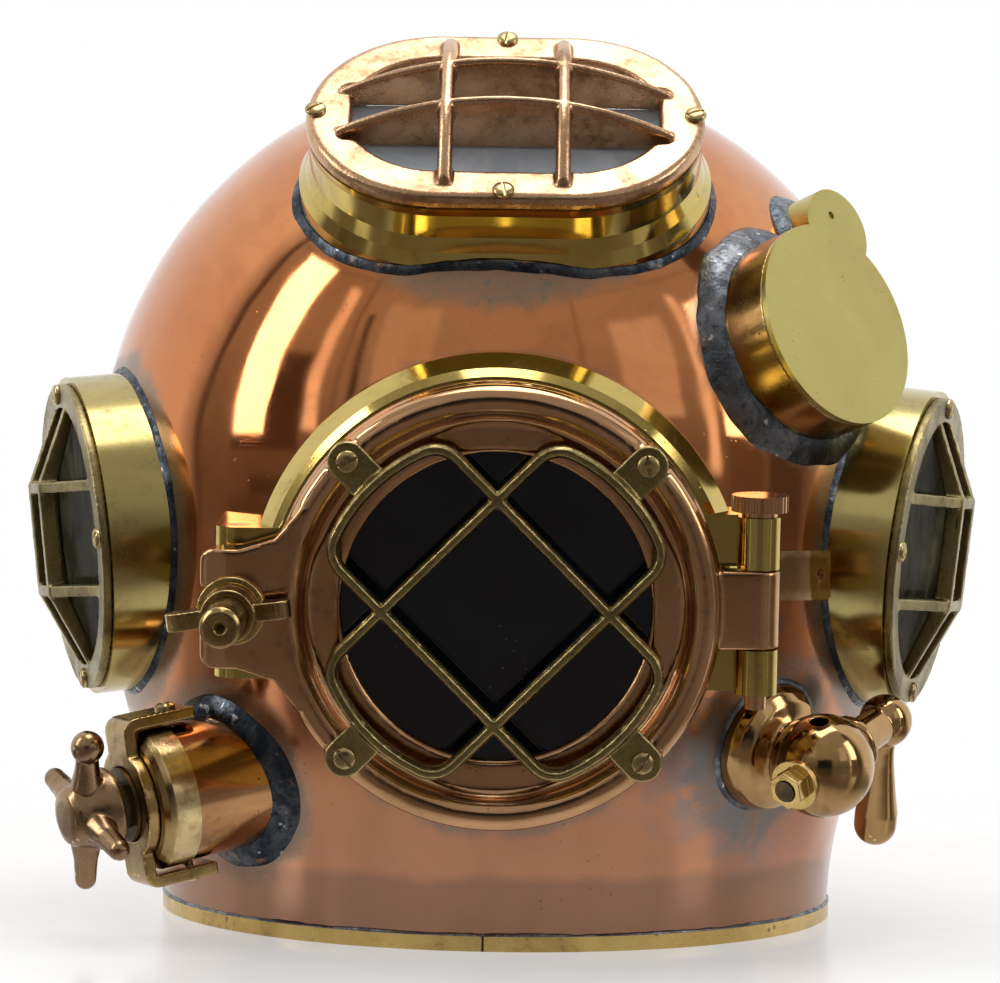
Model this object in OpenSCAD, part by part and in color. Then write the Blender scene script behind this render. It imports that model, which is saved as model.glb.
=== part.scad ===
// Diving helmet without its breastplate, standing on its neck ring.
// Millimetres. +Z is up, -Y is the front, +X is the wearer's left side.
// The origin is the centre of the neck ring's lower face.

/* [Shell] */
// Outer radius of the domed crown
dome_r = 169; // [166:1:172]
// Height of the dome's centre over the neck ring's lower face
dome_z = 183; // [180:1:188]
// Thickness of the copper
shell_t = 2.4; // [1.8:0.2:3]
// Outer radius of the copper where it meets the neck ring
neck_shell_r = 139.2; // [138.6:0.1:139.6]
// Radius of the hollow curve just over the neck ring
neck_flare_r = 177; // [160:1:200]

/* [Neck ring] */
// How far the neck ring's band stands out past the copper
ring_lip = 0.8; // [0.8:0.2:4]
// Height of the band that shows under the copper
ring_band = 5.7; // [4:0.1:8]
// Height of the whole neck ring, with the part inside the copper
ring_h = 26; // [24:1:32]
// Thickness of the neck ring's wall in its plain mouth
ring_wall_t = 5.65; // [5:0.05:7]
// How much narrower the threaded bore is than the plain mouth
ring_step = 1; // [0.8:0.1:1.5]
// Height of the plain mouth below the thread sectors
ring_mouth_h = 8; // [6:1:10]
// Radial height of the interrupted thread
thread_h = 1.4; // [1:0.1:2]
// Distance from one thread ridge to the next
thread_pitch = 5; // [4:0.5:6]
// Number of thread sectors
thread_sectors = 4; // [3:1:6]

/* [Front port] */
// How far the door's plane stands out from the dome
face_rise = 16; // [15:0.5:18]
// Height of the port's centre
face_z = 131; // [129:1:133]
// Downward lean of the port, in degrees
face_pitch = 7; // [5:1:9]
// Outer radius of the door's flange
door_r = 82.5; // [81.5:0.5:83]
// Thickness of the door's flange
door_flange_t = 7; // [6:0.5:8]
// How far the flange's back lies behind the door's plane
door_back = 8; // [7:0.5:9]
// Radius of the rounded ring on the door
door_bead_r = 5.9; // [5:0.1:6.2]
// Visible radius of the door's glass
door_sight_r = 56.5; // [55:0.5:57]
// Radius of the door's glass disc
door_glass_r = 62; // [61:0.5:63]
// Thickness of the glass in every window
glass_t = 10; // [8:0.5:11]
// Outer radius of the door's barrel, which enters the seat
door_barrel_r = 69.5; // [69:0.5:70]
// Clearance between door barrel and seat bore
barrel_gap = 1.5; // [1.3:0.1:2.5]
// Outer radius of the seat's sleeve
seat_r = 82; // [81:0.5:82.5]
// Outer radius of the seat's flared collar
seat_flare_r = 91.5; // [90:0.5:93]

/* [Hinge] */
// Distance of the hinge pin from the port's centre
hinge_x = 95; // [94:0.5:97]
// How far the hinge pin lies behind the door's plane
hinge_back = 4; // [3:0.5:5]
// Height of the knuckle's middle over the port's centre
hinge_y = 1; // [0:0.5:3]
// Length of the door's knuckle
knuckle_l = 28.6; // [26:0.2:30]
// Outer radius of the knuckle and of its lugs
knuckle_r = 8; // [7.5:0.1:8.2]
// Radius of the hinge pin
hinge_pin_r = 4; // [3:0.1:4.5]
// Length of the upper hinge lug
lug_up_l = 18.9; // [16:0.1:20]
// Length of the lower hinge lug
lug_low_l = 16.6; // [14:0.1:18]
// Radius of the knurled pin head
pin_head_r = 10.4; // [9.5:0.1:11]
// Thickness of the knurled pin head
pin_head_t = 5.9; // [5:0.1:7]
// Number of knurl grooves on the pin head
knurls = 30; // [20:2:40]

/* [Clamp] */
// Distance of the clamp bolt from the port's centre
clamp_x = 95; // [94:0.5:96]
// Height of the clamp bolt against the port's centre
clamp_y = -1; // [-2:0.5:1]
// How far the bolt's pivot lies behind the door's plane
clamp_back = 17; // [16.5:0.5:18]
// Radius of the bolt's shank
bolt_r = 7.4; // [7:0.1:7.6]
// Reach of the bolt's end in front of the door's plane
bolt_out = 50; // [46:1:52]
// Radius of the bolt's pivot pin
bolt_pin_r = 4; // [3.5:0.1:4.5]
// Radius of the clamp lugs on the seat
clamp_lug_r = 8.8; // [8:0.1:8.9]
// Length of each clamp lug
clamp_lug_l = 20; // [17:0.5:22]
// Front of the fork, in front of the door's plane
fork_front = 8; // [7:0.5:9]
// Height of the fork
fork_h = 43.6; // [40:0.2:46]
// How far the fork reaches past the bolt
fork_past = 12; // [10:0.5:13]
// Radius of the collar under the wing nut
collar_r = 12.4; // [11:0.1:13.5]
// Thickness of the collar
collar_t = 3; // [2.5:0.1:4]
// Length of the wing nut's hub
nut_l = 12.5; // [11:0.5:14]
// Radius of the wing nut's hub at its foot
nut_r = 10.4; // [9.8:0.1:11]
// Reach of each wing from the bolt's axis
wing_reach = 22.5; // [21:0.5:25]
// Thickness of the wings
wing_t = 6.5; // [5:0.1:7.5]
// Turn of the wings from level, in degrees
wing_turn = 8; // [0:1:20]

/* [Door guard] */
// Distance of each guard bar from the port's centre
guard_a = 29; // [28:0.5:30]
// Radius of the loops' outer arcs
guard_loop_r = 63.6; // [62:0.2:64]
// Radius of the loops' corners
guard_corner_r = 11; // [9:0.5:13]
// Width of a guard bar
guard_w = 4.4; // [3.8:0.1:5]
// Height of a guard bar
guard_h = 6.8; // [6:0.1:8]
// Radius of the ears' screw circle
ear_pcr = 76; // [75.5:0.1:76.5]
// Radius of an ear
ear_r = 7.2; // [6.8:0.1:7.6]
// Thickness of an ear
ear_t = 3.2; // [2.8:0.1:4]

/* [Crown window] */
// How far the crown window's face stands out from the dome
crown_rise = 19.5; // [18:0.5:21]
// Tilt of the crown window towards the front, in degrees
crown_tilt = 44.4; // [42:0.2:46]
// Half the distance between the oval's end centres
crown_half = 24.8; // [23:0.2:27]
// Radius of the oval guard ring's ends
crown_ring_r = 51.5; // [50.5:0.5:52]
// Radius of the opening in the guard ring's ends
crown_open_r = 40.5; // [39.5:0.5:41.5]
// Thickness of the guard ring
crown_ring_t = 6; // [5:0.5:7]
// Radius of the frame's sleeve
crown_sleeve_r = 50.2; // [49.5:0.1:50.4]
// Radius of the frame's flared foot
crown_foot_r = 55; // [54:0.5:57]
// Distance of the long bars from the oval's middle line
crown_long_y = 12.3; // [11:0.1:14]
// Distance of the short bars from the oval's middle
crown_short_x = 22; // [20:0.5:24]
// Height of the bars' crest over the guard ring
crown_arch = 17; // [14:0.5:18]
// Width of the crown guard's bars
crown_bar_w = 4.6; // [4:0.1:5.5]

/* [Side windows] */
// How far the side windows' faces stand out from the dome
side_rise = 11; // [10:0.5:13]
// Height of the side windows' centres
side_z = 153.5; // [152:0.5:155]
// Turn of the side windows towards the front, in degrees
side_turn = 19; // [17:0.5:21]
// Downward lean of the side windows, in degrees
side_pitch = 6.5; // [5:0.5:8]
// Outer radius of the side frames
side_r = 64.2; // [63.5:0.1:65]
// Visible radius of the side glasses
side_sight_r = 51.5; // [50:0.5:52]
// Radius of the side glass discs
side_glass_r = 55; // [54.5:0.1:55.2]
// Thickness of the side guards' ring
side_ring_t = 3.6; // [3:0.1:4.5]
// Distance of the upright bars from the window's centre
side_up_x = 10.5; // [9:0.5:13]
// Distance of the level bars from the window's centre
side_level_y = 20.7; // [19:0.1:23]
// Height of the bars' crest over the frame's face
side_crest = 17; // [14:0.5:18]
// Width of the side guards' bars
side_bar_w = 4.4; // [3.6:0.1:5]
// Radius of the screw circle on the side windows
side_pcr = 57.6; // [57.3:0.1:58]

/* [Exhaust valve] */
// Direction of the valve's foot round the helmet, from the right side towards the front
exhaust_az = 45.8; // [44:0.2:48]
// Height of the valve's foot
exhaust_z = 60; // [58:1:62]
// Turn of the valve's axis from the right side towards the front, in degrees
exhaust_turn = 31.1; // [29:0.1:33]
// Downward lean of the valve's axis, in degrees
exhaust_pitch = 10.5; // [8:0.5:12]
// Outer radius of the copper body
exhaust_r = 26.6; // [26:0.2:27]
// Wall of the copper body
exhaust_wall = 2.4; // [2:0.1:3]
// Length of the copper body outside the shell
exhaust_l = 24; // [22:1:26]
// Length of the brass band with its shoulder
band_l = 14; // [12:0.5:15]
// Radius of the hole in the valve's front
exhaust_hole_r = 14.6; // [14.2:0.1:15]
// Width of the yoke's arms
yoke_w = 19; // [16:0.5:21]
// Thickness of the yoke's strap
yoke_t = 4.6; // [4:0.1:5]
// Length of the yoke's arms
yoke_l = 29; // [26:1:31]
// Reach of the handwheel's spokes
wheel_reach = 33; // [31:0.5:35]
// Radius of the ball on the long spoke
wheel_ball_r = 6.3; // [5.5:0.1:7]
// Turn of the handwheel, in degrees
wheel_turn = -23; // [-40:1:0]
// Height the handwheel moves along its screw
wheel_travel = 3; // [2:0.5:3]
// Travel of the chin button
chin_travel = 5; // [3:0.5:5]

/* [Spitcock] */
// Direction of the spitcock's foot round the helmet, from the left side towards the front
spit_az = 47.1; // [46:0.1:48]
// Height of the spitcock's foot
spit_z = 77.5; // [76:0.5:79]
// Downward lean of the spitcock's neck, in degrees
spit_pitch = 11.5; // [10:0.5:13]
// Radius of the domed foot
spit_foot_r = 25; // [23:0.5:25.5]
// Distance of the ball's centre from the shell
spit_out = 28; // [27:0.5:29]
// Radius of the ball
spit_ball_r = 19.8; // [19.2:0.1:20]
// Radius of the plug
plug_r = 7; // [6:0.1:7.5]
// Distance of the knob from the ball's centre
knob_out = 49; // [48:0.5:51]
// Radius of the knob
knob_r = 10.4; // [9.8:0.1:10.8]
// Length of the handle from the knob's centre
handle_l = 54; // [50:1:56]
// Largest radius of the handle
handle_r = 8.4; // [7.5:0.1:9]
// Radius of the water hole on the ball
spit_hole_r = 3.6; // [3:0.1:4]

/* [Telephone cups] */
// Direction of the large cup round the helmet, from the left side towards the front
cup_az = 45.5; // [45:0.1:46]
// Rise of the large cup's axis, in degrees
cup_up = 17.3; // [16.8:0.1:17.8]
// How far the large cup's lid stands out from the dome
cup_rise = 22; // [20:0.5:23]
// Outer radius of the large cup
cup_r = 40; // [39:0.5:40.5]
// Outer radius of the small cup
small_r = 17.2; // [16:0.2:17.4]
// Sideways place of the small cup against the large one
small_x = 36.6; // [36:0.1:37.2]
// Height of the small cup over the large one
small_y = 47.6; // [47:0.1:48.2]
// How far the small cup's face lies behind the large cup's lid
small_back = 18; // [16:0.5:19]
// Thickness of the cups' walls and lids
cup_t = 2; // [1.6:0.1:2.4]

/* [Rear fittings] */
// Direction of each gooseneck from the back, in degrees
goose_az = 27; // [24:0.5:30]
// Height of the goosenecks' feet
goose_z = 168; // [165:1:172]
// Outer radius of a gooseneck's tube
goose_r = 12.5; // [11.5:0.1:13]
// Bore radius of the goosenecks
goose_bore_r = 8.5; // [7.5:0.1:9]
// Bend radius of the goosenecks
goose_bend = 24; // [22:1:28]
// Radius of the threaded ends
goose_thread_r = 14.3; // [14:0.1:15]
// Length of the threaded ends
goose_thread_l = 16; // [14:1:18]
// Height of the air duct inside the dome
duct_z = 200; // [198:1:204]
// Height of the safety lock's pivot
lock_z = 34; // [32:1:36]
// Radius of the lock lever's weights
lock_ball_r = 6.5; // [6:0.1:7]

/* [Fits] */
// Gap of a soldered or bolted joint
joint_gap = 0.15; // [0.1:0.05:0.3]
// Gap between bodies that move past each other
move_gap = 0.4; // [0.3:0.05:0.6]
// Radial clearance of a running pin
pin_gap = 0.06; // [0.03:0.01:0.09]
// Radius of a guard screw's head
screw_head_r = 4; // [3.6:0.1:4.2]
// Radius of a guard screw's shank
screw_r = 1.7; // [1.4:0.1:1.9]
// Sides of a drawn circle
facets = 72; // [48:8:96]

/* [Hidden] */
$fn = facets;
copper = [0.78, 0.42, 0.26];
brass = [0.74, 0.66, 0.32];
bronze = [0.66, 0.44, 0.30];
solder = [0.50, 0.53, 0.58];
old_brass = [0.52, 0.49, 0.33];
clear = [0.10, 0.12, 0.15];
rubber = [0.12, 0.12, 0.12];

// The copper's side is two arcs that meet where their tangents agree
side_drop = dome_r - neck_shell_r;
ring_r = neck_shell_r + ring_lip;
ring_mouth_r = neck_shell_r - shell_t - joint_gap - ring_wall_t;
ring_bore_r = ring_mouth_r - ring_step;
arc_sum = (side_drop * side_drop + dome_z * dome_z) / (2 * side_drop);
belly_r = arc_sum - neck_flare_r;
lip = 3;
face_out = dome_r + face_rise;
crown_out = dome_r + crown_rise;
side_out = dome_r + side_rise;
cup_out = dome_r + cup_rise;
flange_top = door_flange_t - door_back;
bead_z = flange_top + 3;
bead_r = door_r - door_bead_r - 0.7;
door_front = bead_z + door_bead_r;
seat_front = -door_back - move_gap;
glass_back = -4 - glass_t;
barrel_back = glass_back - 4.5;
ear_z = door_front + 0.3;
knuckle_top = hinge_y + knuckle_l / 2;
knuckle_low = hinge_y - knuckle_l / 2;
clamp_eye_h = 2 * bolt_r + 0.2;
eye_path = norm([hinge_x + clamp_x, clamp_back - hinge_back]);
collar_z = fork_front + 0.3;
nut_z = collar_z + collar_t + 0.3;
rear_az = 90;
thread_ridges = 3;
yoke_front = exhaust_l + band_l + yoke_t + 0.6;
wheel_back = yoke_front + 6;
sleeve_z = exhaust_l + band_l - 6;
plug_axis = [-0.571, -0.755, -0.3006];
handle_axis = [-0.03, 0.38, -0.924];

function shell_r(z) =
  z > dome_z ? sqrt(pow(dome_r, 2) - pow(z - dome_z, 2)) :
  z > turn_z(0) ? dome_r - belly_r + sqrt(pow(belly_r, 2) - pow(dome_z - z, 2)) :
  neck_shell_r + neck_flare_r - sqrt(pow(neck_flare_r, 2) - z * z);
function turn_z(grow) = (neck_flare_r - grow) * dome_z / arc_sum;

// Frames of the fittings: z points out of the helmet and y points up

module on_face() {
  translate([0, -face_out, face_z]) rotate([90 + face_pitch, 0, 0]) children();
}

module on_crown() {
  translate([0, 0, dome_z]) rotate([crown_tilt, 0, 0]) translate([0, 0, crown_out]) children();
}

module on_left() {
  rotate([0, 0, -side_turn]) translate([side_out, 0, side_z])
    rotate([0, 90 + side_pitch, 0]) rotate([0, 0, 90]) children();
}

module on_side(side) {
  if (side > 0) on_left() children();
  else mirror([1, 0, 0]) on_left() children();
}

module on_exhaust() {
  foot = shell_r(exhaust_z);
  translate([-foot * cos(exhaust_az), -foot * sin(exhaust_az), exhaust_z])
    rotate([0, 0, 180 + exhaust_turn]) rotate([0, 90 + exhaust_pitch, 0]) rotate([0, 0, 90]) children();
}

module on_spit() {
  foot = shell_r(spit_z);
  translate([foot * cos(spit_az), -foot * sin(spit_az), spit_z])
    rotate([0, 0, -spit_az]) rotate([0, 90 + spit_pitch, 0]) rotate([0, 0, 90]) children();
}

module on_cup() {
  translate([0, 0, dome_z]) rotate([0, 0, -cup_az]) rotate([0, 90 - cup_up, 0])
    rotate([0, 0, 90]) translate([0, 0, cup_out]) children();
}

module on_rear(az, z) {
  rotate([0, 0, az]) translate([shell_r(z), 0, z]) rotate([0, 90, 0]) rotate([0, 0, 90]) children();
}

// Turns z towards a direction
module towards(v) {
  rotate([0, acos(v[2] / norm(v)), atan2(v[1], v[0])]) children();
}

function spit_ball() = let (
  foot = shell_r(spit_z),
  out = [cos(spit_pitch) * cos(spit_az), -cos(spit_pitch) * sin(spit_az), -sin(spit_pitch)]
) [foot * cos(spit_az), -foot * sin(spit_az), spit_z] + spit_out * out;

// Shared shapes

module body_profile(grow, low) {
  intersection() {
    union() {
      translate([0, dome_z]) circle(dome_r + grow, $fn = 180);
      intersection() {
        translate([dome_r - belly_r, dome_z]) circle(belly_r + grow, $fn = 480);
        translate([-50, low - 50]) square([dome_r + grow + 60, dome_z - low + 50]);
      }
      difference() {
        translate([-20, low - 20]) square([dome_r + 20, turn_z(grow) - low + 20]);
        translate([neck_shell_r + neck_flare_r, 0]) circle(neck_flare_r - grow, $fn = 360);
      }
    }
    translate([0, low]) square([dome_r + 20, dome_z + dome_r + 20]);
  }
}

module body_solid(grow, low = ring_band) {
  rotate_extrude($fn = 144) body_profile(grow, low);
}

// The space inside the copper, less a lip that the sleeves keep
module inside() {
  body_solid(-shell_t - lip, ring_band);
}

module ring(r_out, r_in, h) {
  difference() {
    cylinder(r = r_out, h = h);
    translate([0, 0, -1]) cylinder(r = r_in, h = h + 2);
  }
}

module oval(r) {
  square([2 * crown_half, 2 * r], center = true);
  translate([crown_half, 0]) circle(r);
  translate([-crown_half, 0]) circle(r);
}

// Carries a profile, drawn in radius and height, round the crown's oval
module oval_sweep() {
  for (s = [0, 180]) {
    rotate([0, 0, s]) translate([crown_half, 0, 0]) rotate([0, 0, -90]) rotate_extrude(angle = 180) children();
    rotate([0, 0, s + 180]) translate([crown_half, 0, 0]) rotate([90, 0, -90])
      linear_extrude(2 * crown_half) children();
  }
}

module slotted_screw(len) {
  difference() {
    union() {
      cylinder(r = screw_head_r, h = 1.2, $fn = 32);
      translate([0, 0, 1.2]) cylinder(r1 = screw_head_r, r2 = screw_head_r - 1.2, h = 0.8, $fn = 32);
      translate([0, 0, -len]) cylinder(r = screw_r, h = len + 0.5, $fn = 32);
    }
    translate([-5, -0.5, 0.9]) cube([10, 1, 3]);
  }
}

module screw_hole(len) {
  translate([0, 0, -len]) cylinder(r = screw_r + joint_gap, h = len + 20, $fn = 32);
}

// A pad of even thickness on the copper round a fitting
module shell_pad(r_out, r_in, t) {
  difference() {
    intersection() {
      body_solid(t);
      children(0);
    }
    body_solid(joint_gap);
    children(1);
  }
}

// Shell and neck ring

module bonnet() {
  color(copper) difference() {
    body_solid(0);
    body_solid(-shell_t, ring_band - 1);
    on_face() translate([0, 0, -75]) cylinder(r = seat_r + joint_gap, h = 75);
    on_crown() translate([0, 0, -60]) linear_extrude(60) oval(crown_sleeve_r + joint_gap);
    for (s = [-1, 1]) on_side(s) translate([0, 0, -60]) cylinder(r = side_r + joint_gap, h = 60);
    on_exhaust() translate([0, 0, -25]) cylinder(r = exhaust_r + joint_gap, h = 40);
    on_spit() translate([0, 0, -12]) cylinder(r = goose_bore_r, h = 20, $fn = 48);
    on_cup() translate([0, 0, -45]) cylinder(r = cup_r - 8, h = 45);
    on_cup() translate([small_x, small_y, -60 - small_back]) cylinder(r = small_r - 6, h = 60, $fn = 48);
    for (s = [-1, 1]) on_rear(rear_az + s * goose_az, goose_z)
      translate([0, 0, -15]) cylinder(r = goose_bore_r, h = 20, $fn = 48);
  }
}

module neck_ring() {
  sleeve_r = neck_shell_r - shell_t - joint_gap;
  color(brass) {
    rotate_extrude($fn = 144) polygon([[ring_mouth_r, 0], [ring_r, 0], [ring_r, ring_band],
      [sleeve_r, ring_band], [sleeve_r, ring_h], [ring_bore_r, ring_h], [ring_bore_r, ring_mouth_h],
      [ring_mouth_r, ring_mouth_h]]);
    for (i = [0:thread_sectors - 1], j = [0:thread_ridges - 1])
      rotate([0, 0, (i + 0.25) * 360 / thread_sectors])
        rotate_extrude(angle = 180 / thread_sectors, $fn = 144)
          translate([0, ring_mouth_h + 1.5 + j * thread_pitch])
            polygon([[ring_bore_r + 0.5, 0], [ring_bore_r - thread_h, 0.4],
              [ring_bore_r - thread_h, 1.8], [ring_bore_r + 0.5, thread_pitch * 0.7]]);
  }
}

// Front port: seat, door, hinge and clamp

module seat_arm(x, r, back, len) {
  edge = seat_r - 6;
  translate([0, 0, seat_front - 15]) mirror([x < 0 ? 1 : 0, 0, 0]) translate([edge, 0, 0])
    cube([abs(x) - edge, len, 15]);
}

module front_seat() {
  bore = door_barrel_r + barrel_gap;
  cx = -clamp_x;
  eye = clamp_eye_h / 2 + move_gap;
  color(brass) difference() {
    union() {
      difference() {
        on_face() translate([0, 0, -70]) cylinder(r = seat_r, h = 70 + seat_front);
        inside();
      }
      difference() {
        on_face() union() {
          rotate([0, 0, -8]) rotate_extrude(angle = 196)
            polygon([[seat_r - 2, -70], [seat_flare_r, -70], [seat_flare_r, seat_front - 12],
              [seat_r + 4.5, seat_front - 3], [seat_r + 1.5, seat_front], [seat_r - 2, seat_front]]);
          // Hinge lugs and the arms that carry them
          for (a = [[knuckle_top + move_gap, lug_up_l], [knuckle_low - move_gap - lug_low_l, lug_low_l]])
            translate([0, a[0], 0]) {
              translate([hinge_x, 0, -hinge_back]) rotate([-90, 0, 0])
                cylinder(r = knuckle_r - 0.2, h = a[1]);
              translate([seat_r - 8, 0, seat_front - 24])
                cube([hinge_x + knuckle_r - 0.2 - seat_r + 8, a[1], 24]);
            }
          // Clamp lugs on both sides of the bolt's eye
          for (a = [clamp_y + eye, clamp_y - eye - clamp_lug_l])
            translate([0, a, 0]) {
              translate([cx, 0, -clamp_back]) rotate([-90, 0, 0]) cylinder(r = clamp_lug_r, h = clamp_lug_l);
              translate([cx, 0, -clamp_back - clamp_lug_r]) cube([clamp_x - seat_r + 8, clamp_lug_l,
                clamp_back + clamp_lug_r + seat_front]);
              translate([cx - clamp_lug_r, 0, -60])
                cube([clamp_x - seat_r + 8 + clamp_lug_r, clamp_lug_l, 60 - clamp_back]);
            }
        }
        body_solid(joint_gap);
      }
    }
    on_face() {
      translate([0, 0, -80]) cylinder(r = bore, h = 80);
      // Groove for the seat gasket
      translate([0, 0, seat_front - 2.6]) ring(bore + 8.2, bore + 2.8, 5);
      translate([hinge_x, -60, -hinge_back]) rotate([-90, 0, 0]) cylinder(r = hinge_pin_r, h = 120, $fn = 48);
      translate([cx, -60, -clamp_back]) rotate([-90, 0, 0]) cylinder(r = bolt_pin_r, h = 120, $fn = 48);
      // Room for the bolt's eye
      translate([cx - 20, clamp_y - eye, -clamp_back - clamp_lug_r - 1])
        cube([20 + clamp_lug_r + 0.6, 2 * eye, 40]);
      // Room for the turning knuckle
      translate([hinge_x, knuckle_low - move_gap, -hinge_back]) rotate([-90, 0, 0])
        cylinder(r = knuckle_r + move_gap, h = knuckle_l + 2 * move_gap);
    }
  }
}

module seat_gasket() {
  bore = door_barrel_r + barrel_gap;
  color(rubber) on_face() translate([0, 0, seat_front - 2.5]) ring(bore + 8, bore + 3, 2.5);
}

module fork_shape() {
  reach = clamp_x + fork_past;
  difference() {
    union() {
      polygon([[-bead_r + 6, -38], [-bead_r - 4, -fork_h / 2 - 4], [-clamp_x + 2, -fork_h / 2],
        [-reach + 5, -fork_h / 2], [-reach, -fork_h / 2 + 5], [-reach, fork_h / 2 - 5],
        [-reach + 5, fork_h / 2], [-clamp_x + 2, fork_h / 2], [-bead_r - 4, fork_h / 2 + 4], [-bead_r + 6, 38]]);
      translate([-reach + 5, fork_h / 2 - 5]) circle(5);
      translate([-reach + 5, -fork_h / 2 + 5]) circle(5);
    }
    circle(bead_r - 2);
  }
}

module door() {
  slot = bolt_r + move_gap;
  knuckle_in = door_r - 6;
  color(bronze) on_face() difference() {
    union() {
      rotate_extrude($fn = 96) {
        polygon([[door_barrel_r - 0.5, -door_back], [door_r - 1, -door_back], [door_r, -door_back + 1],
          [door_r, flange_top - 1.2], [door_r - 1, flange_top], [door_barrel_r - 0.5, flange_top]]);
        translate([bead_r, bead_z]) circle(door_bead_r, $fn = 48);
        translate([bead_r - door_bead_r + 0.6, flange_top - 1]) square([2 * door_bead_r - 1.2, 3]);
        polygon([[door_sight_r, -4], [door_sight_r, -1.8], [door_sight_r + 1.4, -0.8],
          [door_barrel_r - 2, -0.8], [bead_r - door_bead_r + 1.2, 2], [bead_r, 1], [bead_r, -4]]);
        translate([door_glass_r + joint_gap, barrel_back])
          square([door_barrel_r - door_glass_r - joint_gap, -barrel_back - 3]);
      }
      // Fork for the swing bolt, its far face rolled about the bolt's pivot
      intersection() {
        translate([0, clamp_y, flange_top - 6]) linear_extrude(fork_front - flange_top + 6) fork_shape();
        union() {
          translate([-clamp_x, -60, -30]) cube([60, 120, 60]);
          translate([-clamp_x, -60, -clamp_back]) rotate([-90, 0, 0])
            cylinder(r = fork_front + clamp_back, h = 120, $fn = 144);
        }
      }
      // Knuckle
      translate([hinge_x, knuckle_low, -hinge_back]) rotate([-90, 0, 0]) cylinder(r = knuckle_r, h = knuckle_l);
      translate([knuckle_in, knuckle_low, -door_back]) cube([hinge_x - knuckle_in, knuckle_l, door_back + 4]);
      // Flat bosses under the guard's ears
      for (a = [45:90:315]) rotate([0, 0, a]) translate([ear_pcr, 0, flange_top - 1])
        cylinder(r = ear_r, h = ear_z - flange_top + 1, $fn = 48);
    }
    translate([-clamp_x, clamp_y, -30]) cylinder(r = slot, h = 60, $fn = 48);
    translate([-clamp_x - 30, clamp_y - slot, -30]) cube([30, 2 * slot, 60]);
    translate([hinge_x, -60, -hinge_back]) rotate([-90, 0, 0])
      cylinder(r = hinge_pin_r + pin_gap, h = 120, $fn = 48);
    translate([-clamp_x, clamp_y - clamp_eye_h, -clamp_back]) rotate([-90, 0, 0])
      cylinder(r = clamp_lug_r + move_gap, h = 2 * clamp_eye_h);
    for (a = [45:90:315]) rotate([0, 0, a]) translate([ear_pcr, 0, ear_z]) screw_hole(8);
  }
}

module door_glass() {
  color(clear) on_face() translate([0, 0, glass_back]) cylinder(r = door_glass_r, h = glass_t);
}

module door_gasket() {
  color(rubber) on_face() translate([0, 0, glass_back - 1.5]) ring(door_glass_r, door_sight_r + 0.5, 1.5);
}

module door_retainer() {
  color(bronze) on_face() difference() {
    translate([0, 0, barrel_back]) ring(door_glass_r, door_sight_r + 0.5, 3);
    for (a = [0, 90, 180, 270]) rotate([0, 0, a]) translate([door_sight_r - 2, -2, barrel_back - 1])
      cube([5, 4, 3]);
  }
}

// Outline of one guard loop: straight sides, round corners, and arcs about the port's centre
module guard_outline(grow) {
  cx = guard_a - guard_corner_r;
  cy = sqrt(pow(guard_loop_r - guard_corner_r, 2) - cx * cx);
  square([2 * (guard_a + grow), 2 * cy], center = true);
  for (s = [-1, 1], t = [-1, 1]) translate([s * cx, t * cy]) circle(guard_corner_r + grow, $fn = 48);
  intersection() {
    circle(guard_loop_r + grow, $fn = 120);
    for (s = [-1, 1]) polygon([[0, 0], [2 * cx, s * 2 * cy], [-2 * cx, s * 2 * cy]]);
  }
}

module guard_loop(inset, h) {
  linear_extrude(h) difference() {
    guard_outline(guard_w / 2 - inset);
    guard_outline(inset - guard_w / 2);
  }
}

module door_guard() {
  color(old_brass) on_face() translate([0, 0, ear_z]) difference() {
    union() {
      for (a = [45, 135]) rotate([0, 0, a]) {
        guard_loop(0, guard_h - 1.4);
        guard_loop(0.8, guard_h);
      }
      for (a = [45:90:315]) rotate([0, 0, a]) {
        translate([ear_pcr, 0, 0]) cylinder(r = ear_r, h = ear_t, $fn = 48);
        translate([guard_loop_r, -ear_r, 0]) cube([ear_pcr - guard_loop_r, 2 * ear_r, ear_t]);
      }
    }
    for (a = [45:90:315]) rotate([0, 0, a]) translate([ear_pcr, 0, 0]) screw_hole(8);
  }
}

module door_screws() {
  color(old_brass) on_face() for (a = [45:90:315])
    rotate([0, 0, a]) translate([ear_pcr, 0, ear_z + ear_t]) rotate([0, 0, a * 1.7]) slotted_screw(ear_t + 6);
}

module hinge_pin() {
  low = knuckle_low - lug_low_l - 6;
  top = knuckle_top + move_gap + lug_up_l;
  color(bronze) on_face() translate([hinge_x, 0, -hinge_back]) rotate([-90, 0, 0]) {
    translate([0, 0, low]) cylinder(r = hinge_pin_r, h = top - low + 1, $fn = 48);
    translate([0, 0, top + joint_gap]) cylinder(r = hinge_pin_r + 2.6, h = 2.2);
    translate([0, 0, top + 2]) linear_extrude(pin_head_t) difference() {
      circle(pin_head_r, $fn = 60);
      for (i = [0:knurls - 1]) rotate(i * 360 / knurls) translate([pin_head_r + 0.25, 0]) circle(0.75, $fn = 16);
    }
  }
}

module hinge_strap() {
  color(brass) difference() {
    intersection() {
      body_solid(2.4);
      rotate([0, 0, -46]) translate([100, -16, 134]) cube([90, 32, 19]);
    }
    body_solid(joint_gap);
    on_left() translate([0, 0, -60]) cylinder(r = side_r + joint_gap, h = 90);
    on_face() translate([0, 0, -90]) cylinder(r = seat_flare_r + joint_gap, h = 90);
    on_face() translate([60, -40, -70]) cube([hinge_x + knuckle_r + joint_gap - 60.2, 80, 80]);
    rotate([0, 0, -43]) translate([100, 0, 144]) rotate([0, 90, 0]) cylinder(r = 2.2, h = 90, $fn = 32);
  }
}

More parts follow.
